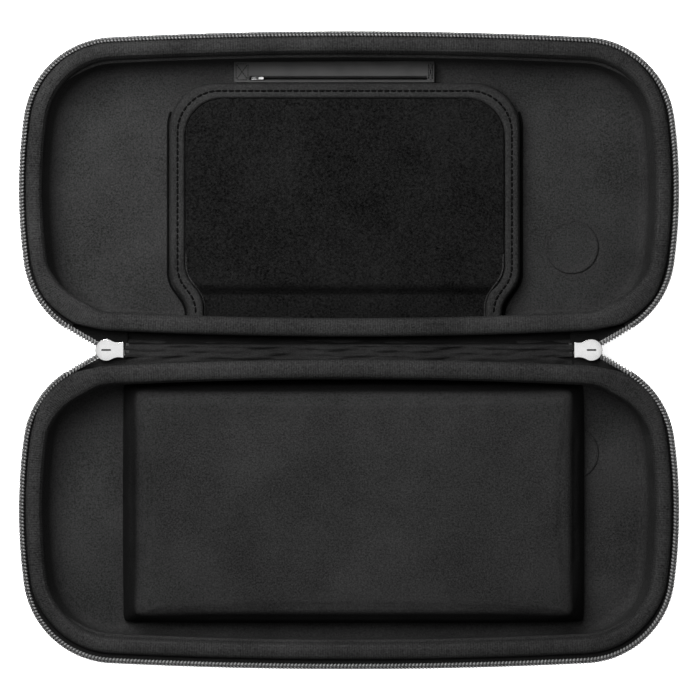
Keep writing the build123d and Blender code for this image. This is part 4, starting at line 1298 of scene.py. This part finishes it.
def add_pocket_zip():
    """The pocket's facing with its slit, stitches, tapes, coil and slider."""
    low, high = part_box("pocket_zip_facing")
    slit_y = sum(corner.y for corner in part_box("pocket_zip_coil")) / 2
    slit_left, slit_right = -47.5 * MM, 37.5 * MM
    slit_half = 0.95 * MM
    plate_low = 9.5 * MM
    block = make("facing_cover", *box_points(low, high), FACING)
    carve(block, (low.x + MM, low.y - MM, low.z - MM), (high.x - MM, high.y + MM, plate_low))
    slit_end = (slit_right, slit_y + slit_half, high.z + MM)
    carve(block, (slit_left, slit_y - slit_half, plate_low - MM), slit_end)
    crisp(soften(block, 0.3 * MM, 3))
    points = np.array([v.co for v in block.data.vertices])
    block.data.vertices.foreach_set("co", keep_inside(points, 1, 0.05 * MM).ravel())
    dress(block, "lid", "facing", "pocket_zip_facing")

    threads = []
    inset = 1.0 * MM
    for x0, x1 in ((low.x + inset, slit_left - 0.8 * MM), (slit_right + 0.6 * MM, high.x - inset)):
        y0, y1 = low.y + 1.2 * MM, high.y - 1.6 * MM
        spots = (x0, y0), (x0, y1), (x1, y0), (x1, y1)
        for a, b in ((0, 1), (2, 3), (0, 2), (1, 3), (0, 3), (1, 2)):
            line = raised(np.linspace(spots[a], spots[b], 40), high.z)
            normals = np.tile([0.0, 0.0, 1.0], (len(line), 1))
            threads.append(thread_line(line, normals, 1.2 * MM, 0.9 * MM, 0.15 * MM))
    dress(make("facing_stitches", *join_parts(threads), THREAD_AND_PAINTED_SHADOW), "lid", "facing")

    tape_low, tape_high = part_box("pocket_zip_tape")
    x = np.linspace(tape_low.x, tape_high.x, 120)
    gap = 0.45 * MM
    for name, y0, y1 in (("near", tape_low.y, slit_y - gap), ("far", slit_y + gap, tape_high.y)):
        y = np.linspace(y0, y1, 8)
        grid = np.stack(np.broadcast_arrays(x[:, None], y[None, :], tape_high.z), axis=-1).copy()
        wave = smooth_noise(grid.reshape(-1, 3), 9 * MM, 81).reshape(grid.shape[:2])
        grid[..., 2] -= (0.03 + 0.02 * wave) * MM
        tape = slab(f"pocket_tape_{name}", grid, 0.4 * MM, LIP)
        dress(tape, "lid", "zip_tape", "pocket_zip_tape")
    coil_low, coil_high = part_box("pocket_zip_coil")
    reach = (coil_high.z - coil_low.z) / 2
    strand = 0.17 * MM
    pitch = 1.05 * MM
    rows = []
    for way in (-1, 1):
        turns = np.arange(int((coil_high.x - coil_low.x - 2 * strand) / pitch) * 12) / 12
        turn = turns * 2 * math.pi + (math.pi if way > 0 else 0)
        x = coil_low.x + strand + turns * pitch
        y = slit_y + way * (gap + 0.5 * MM) + np.cos(turn) * (0.5 * MM - strand)
        z = (coil_low.z + coil_high.z) / 2 + np.sin(turn) * (reach - strand)
        rows.append(tube(np.stack([x, y, z], axis=1), strand, 5))
    coil = make("pocket_coil", *join_parts(rows), COIL)
    dress(coil, "lid", "zip_coil", "pocket_zip_coil")

    body_low, body_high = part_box("pocket_slider_body")
    centre = ((body_low.x + body_high.x) / 2, slit_y)
    upper = plate(capsule_loop(centre, 3.4 * MM, 1.6 * MM), body_high.z - 0.7 * MM, body_high.z, 0.2 * MM)
    lower = plate(capsule_loop(centre, 5.0 * MM, 3.6 * MM), body_low.z, body_low.z + 0.7 * MM, 0.2 * MM)
    post_loop = capsule_loop(centre, 1.7 * MM, 0.6 * MM)
    post = plate(post_loop, body_low.z + 0.6 * MM, body_high.z - 0.6 * MM, 0.02 * MM)
    body = crisp(make("pocket_slider_plates", *join_parts([upper, lower, post]), NICKEL))
    dress(body, "pocket_slider", "slider_metal", "pocket_slider_body")
    bridge_node = "pocket_slider_bridge"
    bridge = staple("pocket_slider_staple", bridge_node, centre[0], slit_y, 0.2 * MM, 18, 10, 1.5, False)
    dress(bridge, "pocket_slider", "slider_metal", "pocket_slider_bridge")
    pull_low, pull_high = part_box("pocket_pull")
    length, width = pull_high.x - pull_low.x, pull_high.y - pull_low.y
    plan = pull_outline(length, width, 0.12 * MM)
    points, faces = plate(plan, -0.3 * MM, 0.3 * MM, 0.15 * MM)
    middle_z = (pull_low.z + pull_high.z) / 2
    turned = np.stack([pull_low.x - points[:, 1], slit_y + points[:, 0], middle_z + points[:, 2]], axis=1)
    pull = make("pocket_tab_metal", turned, faces, NICKEL)
    eye_low = (pull_low.x + 0.6 * MM, slit_y - 0.5 * MM, pull_low.z - MM)
    eye_high = (pull_low.x + 2.4 * MM, slit_y + 0.5 * MM, pull_high.z + MM)
    crisp(carve(pull, eye_low, eye_high))
    dress(pull, "pocket_tab", "slider_metal", "pocket_pull")


add_pocket_zip()


# ---------------------------------------------------------------- discs, badges and stops

def round_pad(name, node, profile, material, body, slot):
    """A round piece from a profile of (share of the radius, share of the height), centre outwards."""
    low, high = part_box(node)
    centre = ((low.x + high.x) / 2, (low.y + high.y) / 2)
    radius = (high.x - low.x) / 2
    turn = np.linspace(0, 2 * math.pi, 96, endpoint=False)
    circle = np.stack([np.cos(turn), np.sin(turn)], axis=1)
    rings = [raised(centre + radius * r * circle, low.z + (high.z - low.z) * h) for r, h in profile]
    obj = make(name, np.concatenate(rings), capped_faces(len(rings), len(turn)), material)
    dress(obj, body, slot, node)


for end_name in ENDS:
    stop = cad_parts[f"zip_stop_{end_name}"]
    stop.data.materials.clear()
    stop.data.materials.append(STOP)

DISC_PROFILE = [
    (0.2, 0.0), (0.97, 0.0), (1.0, 0.2), (0.995, 0.6), (0.975, 0.9), (0.95, 1.0),
    (0.9, 0.97), (0.87, 0.7), (0.84, 0.66), (0.6, 0.72), (0.3, 0.76), (0.1, 0.78),
]
BADGE_PROFILE = [
    (0.2, 1.0), (0.98, 1.0), (1.0, 0.8), (0.99, 0.3), (0.96, 0.05), (0.93, 0.0),
    (0.88, 0.08), (0.86, 0.25), (0.83, 0.25), (0.8, 0.12), (0.4, 0.08), (0.1, 0.08),
]
for half in SIDES:
    round_pad(f"{half}_disc_pad", f"{half}_disc", DISC_PROFILE, LINING, half, "lining")
    round_pad(f"{half}_badge_blank", f"{half}_badge", BADGE_PROFILE, BADGE, half, "badge")


# ---------------------------------------------------------------- loose thread ends at the bindings' joins

def thread_tuft(name, body, root, ends, radius):
    """Loose thread ends that hang from one point."""
    t = np.linspace(0, 1, 8)[:, None]
    parts = []
    for end in ends:
        end = np.array(end) * MM
        middle = root + (end - root) * 0.5 + np.array([0.2, 0.1, 0.5]) * MM
        line = (1 - t) ** 2 * root + 2 * (1 - t) * t * middle + t * t * end
        parts.append(tube(line, radius, 6))
    dress(make(name, *join_parts(parts), PIPING), body, "binding")


thread_tuft(
    "base_thread_ends", "base", np.array([-2.8, -11.8, 27.2]) * MM,
    [(-3.9, -14.2, 23.4), (-2.6, -14.6, 23.2), (-1.7, -13.9, 23.6), (-3.2, -13.6, 24.2)], 0.2 * MM,
)
thread_tuft(
    "lid_thread_ends", "lid", np.array([-7.0, 13.2, 26.8]) * MM,
    [(-7.8, 15.3, 24.2), (-6.5, 15.0, 23.8)], 0.18 * MM,
)


# ---------------------------------------------------------------- floor, light and camera

# Name, place, size, power, and whether gloss shows it
LAMPS = [
    ("key", (-0.22, 0.28, 0.57), 0.56, 16.6, False),
    ("overhead", (-0.08, 0.05, 1.7), 0.9, 5.0, False),
    ("fill", (0.25, -0.42, 0.45), 0.60, 1.6, False),
    ("glint", (-0.30, 0.80, 0.75), 0.30, 4.0, True),
]


def studio_world():
    """A dim room with a pale ceiling panel straight above and a white backdrop."""
    world = bpy.data.worlds.new("studio")
    world.use_nodes = True
    tree = world.node_tree
    coordinates = tree.nodes.new("ShaderNodeTexCoord")
    parts = add_node(tree, "ShaderNodeSeparateXYZ", {"Vector": coordinates.outputs["Generated"]})
    heights = {"Value": parts.outputs["Z"], "From Min": 0.86, "From Max": 0.95}
    heights |= {"To Min": 0.09, "To Max": 1.05}
    panel = add_node(tree, "ShaderNodeMapRange", heights, interpolation_type="SMOOTHSTEP")
    rays = tree.nodes.new("ShaderNodeLightPath")
    seen = maths(tree, "MAXIMUM", panel.outputs[0], rays.outputs["Is Camera Ray"])
    background = tree.nodes["Background"]
    background.inputs["Color"].default_value = (1, 1, 1, 1)
    tree.links.new(seen, background.inputs["Strength"])
    return world


def stage_and_camera():
    """The floor, the world, the lamps and the camera."""
    corners = [(-3, -3, 0), (3, -3, 0), (3, 3, 0), (-3, 3, 0)]
    floor = make("floor", corners, [(0, 1, 2, 3)], floor_material())
    floor.location.z = -0.2 * MM
    scene = bpy.context.scene
    scene.world = studio_world()
    for name, place, size, power, mirrored in LAMPS:
        data = bpy.data.lights.new(name, "AREA")
        data.shape = "DISK"
        data.size = size
        data.energy = power
        lamp = bpy.data.objects.new(name, data)
        lamp.location = place
        lamp.visible_glossy = mirrored
        lamp.visible_camera = False
        lamp.rotation_mode = "QUATERNION"
        lamp.rotation_quaternion = (-Vector(place)).to_track_quat("-Z", "Y")
        scene.collection.objects.link(lamp)
    camera = bpy.data.cameras.new("camera")
    rim_view_width = 330.4 * MM  # what the picture spans at the height of the rims
    distance = 1.35
    camera.sensor_width = 36.0
    camera.lens = camera.sensor_width * distance / rim_view_width
    viewer = bpy.data.objects.new("camera", camera)
    viewer.location = (0.55 * MM, 0, RIM_TOP + distance)
    scene.collection.objects.link(viewer)
    scene.camera = viewer
    scene.view_settings.view_transform = "Standard"
    scene.view_settings.gamma = 0.8


def floor_material():
    """White paper that gives off some light of its own."""
    material, tree, shader, place = new_material("floor_paper")
    shade = noise_value(tree, place, 6.0)
    tree.links.new(ramp(tree, shade, grey(0.93), grey(0.95)), shader.inputs["Base Color"])
    shader.inputs["Roughness"].default_value = 0.9
    shader.inputs["Emission Color"].default_value = (1, 1, 1, 1)
    shader.inputs["Emission Strength"].default_value = 0.75
    return material


stage_and_camera()
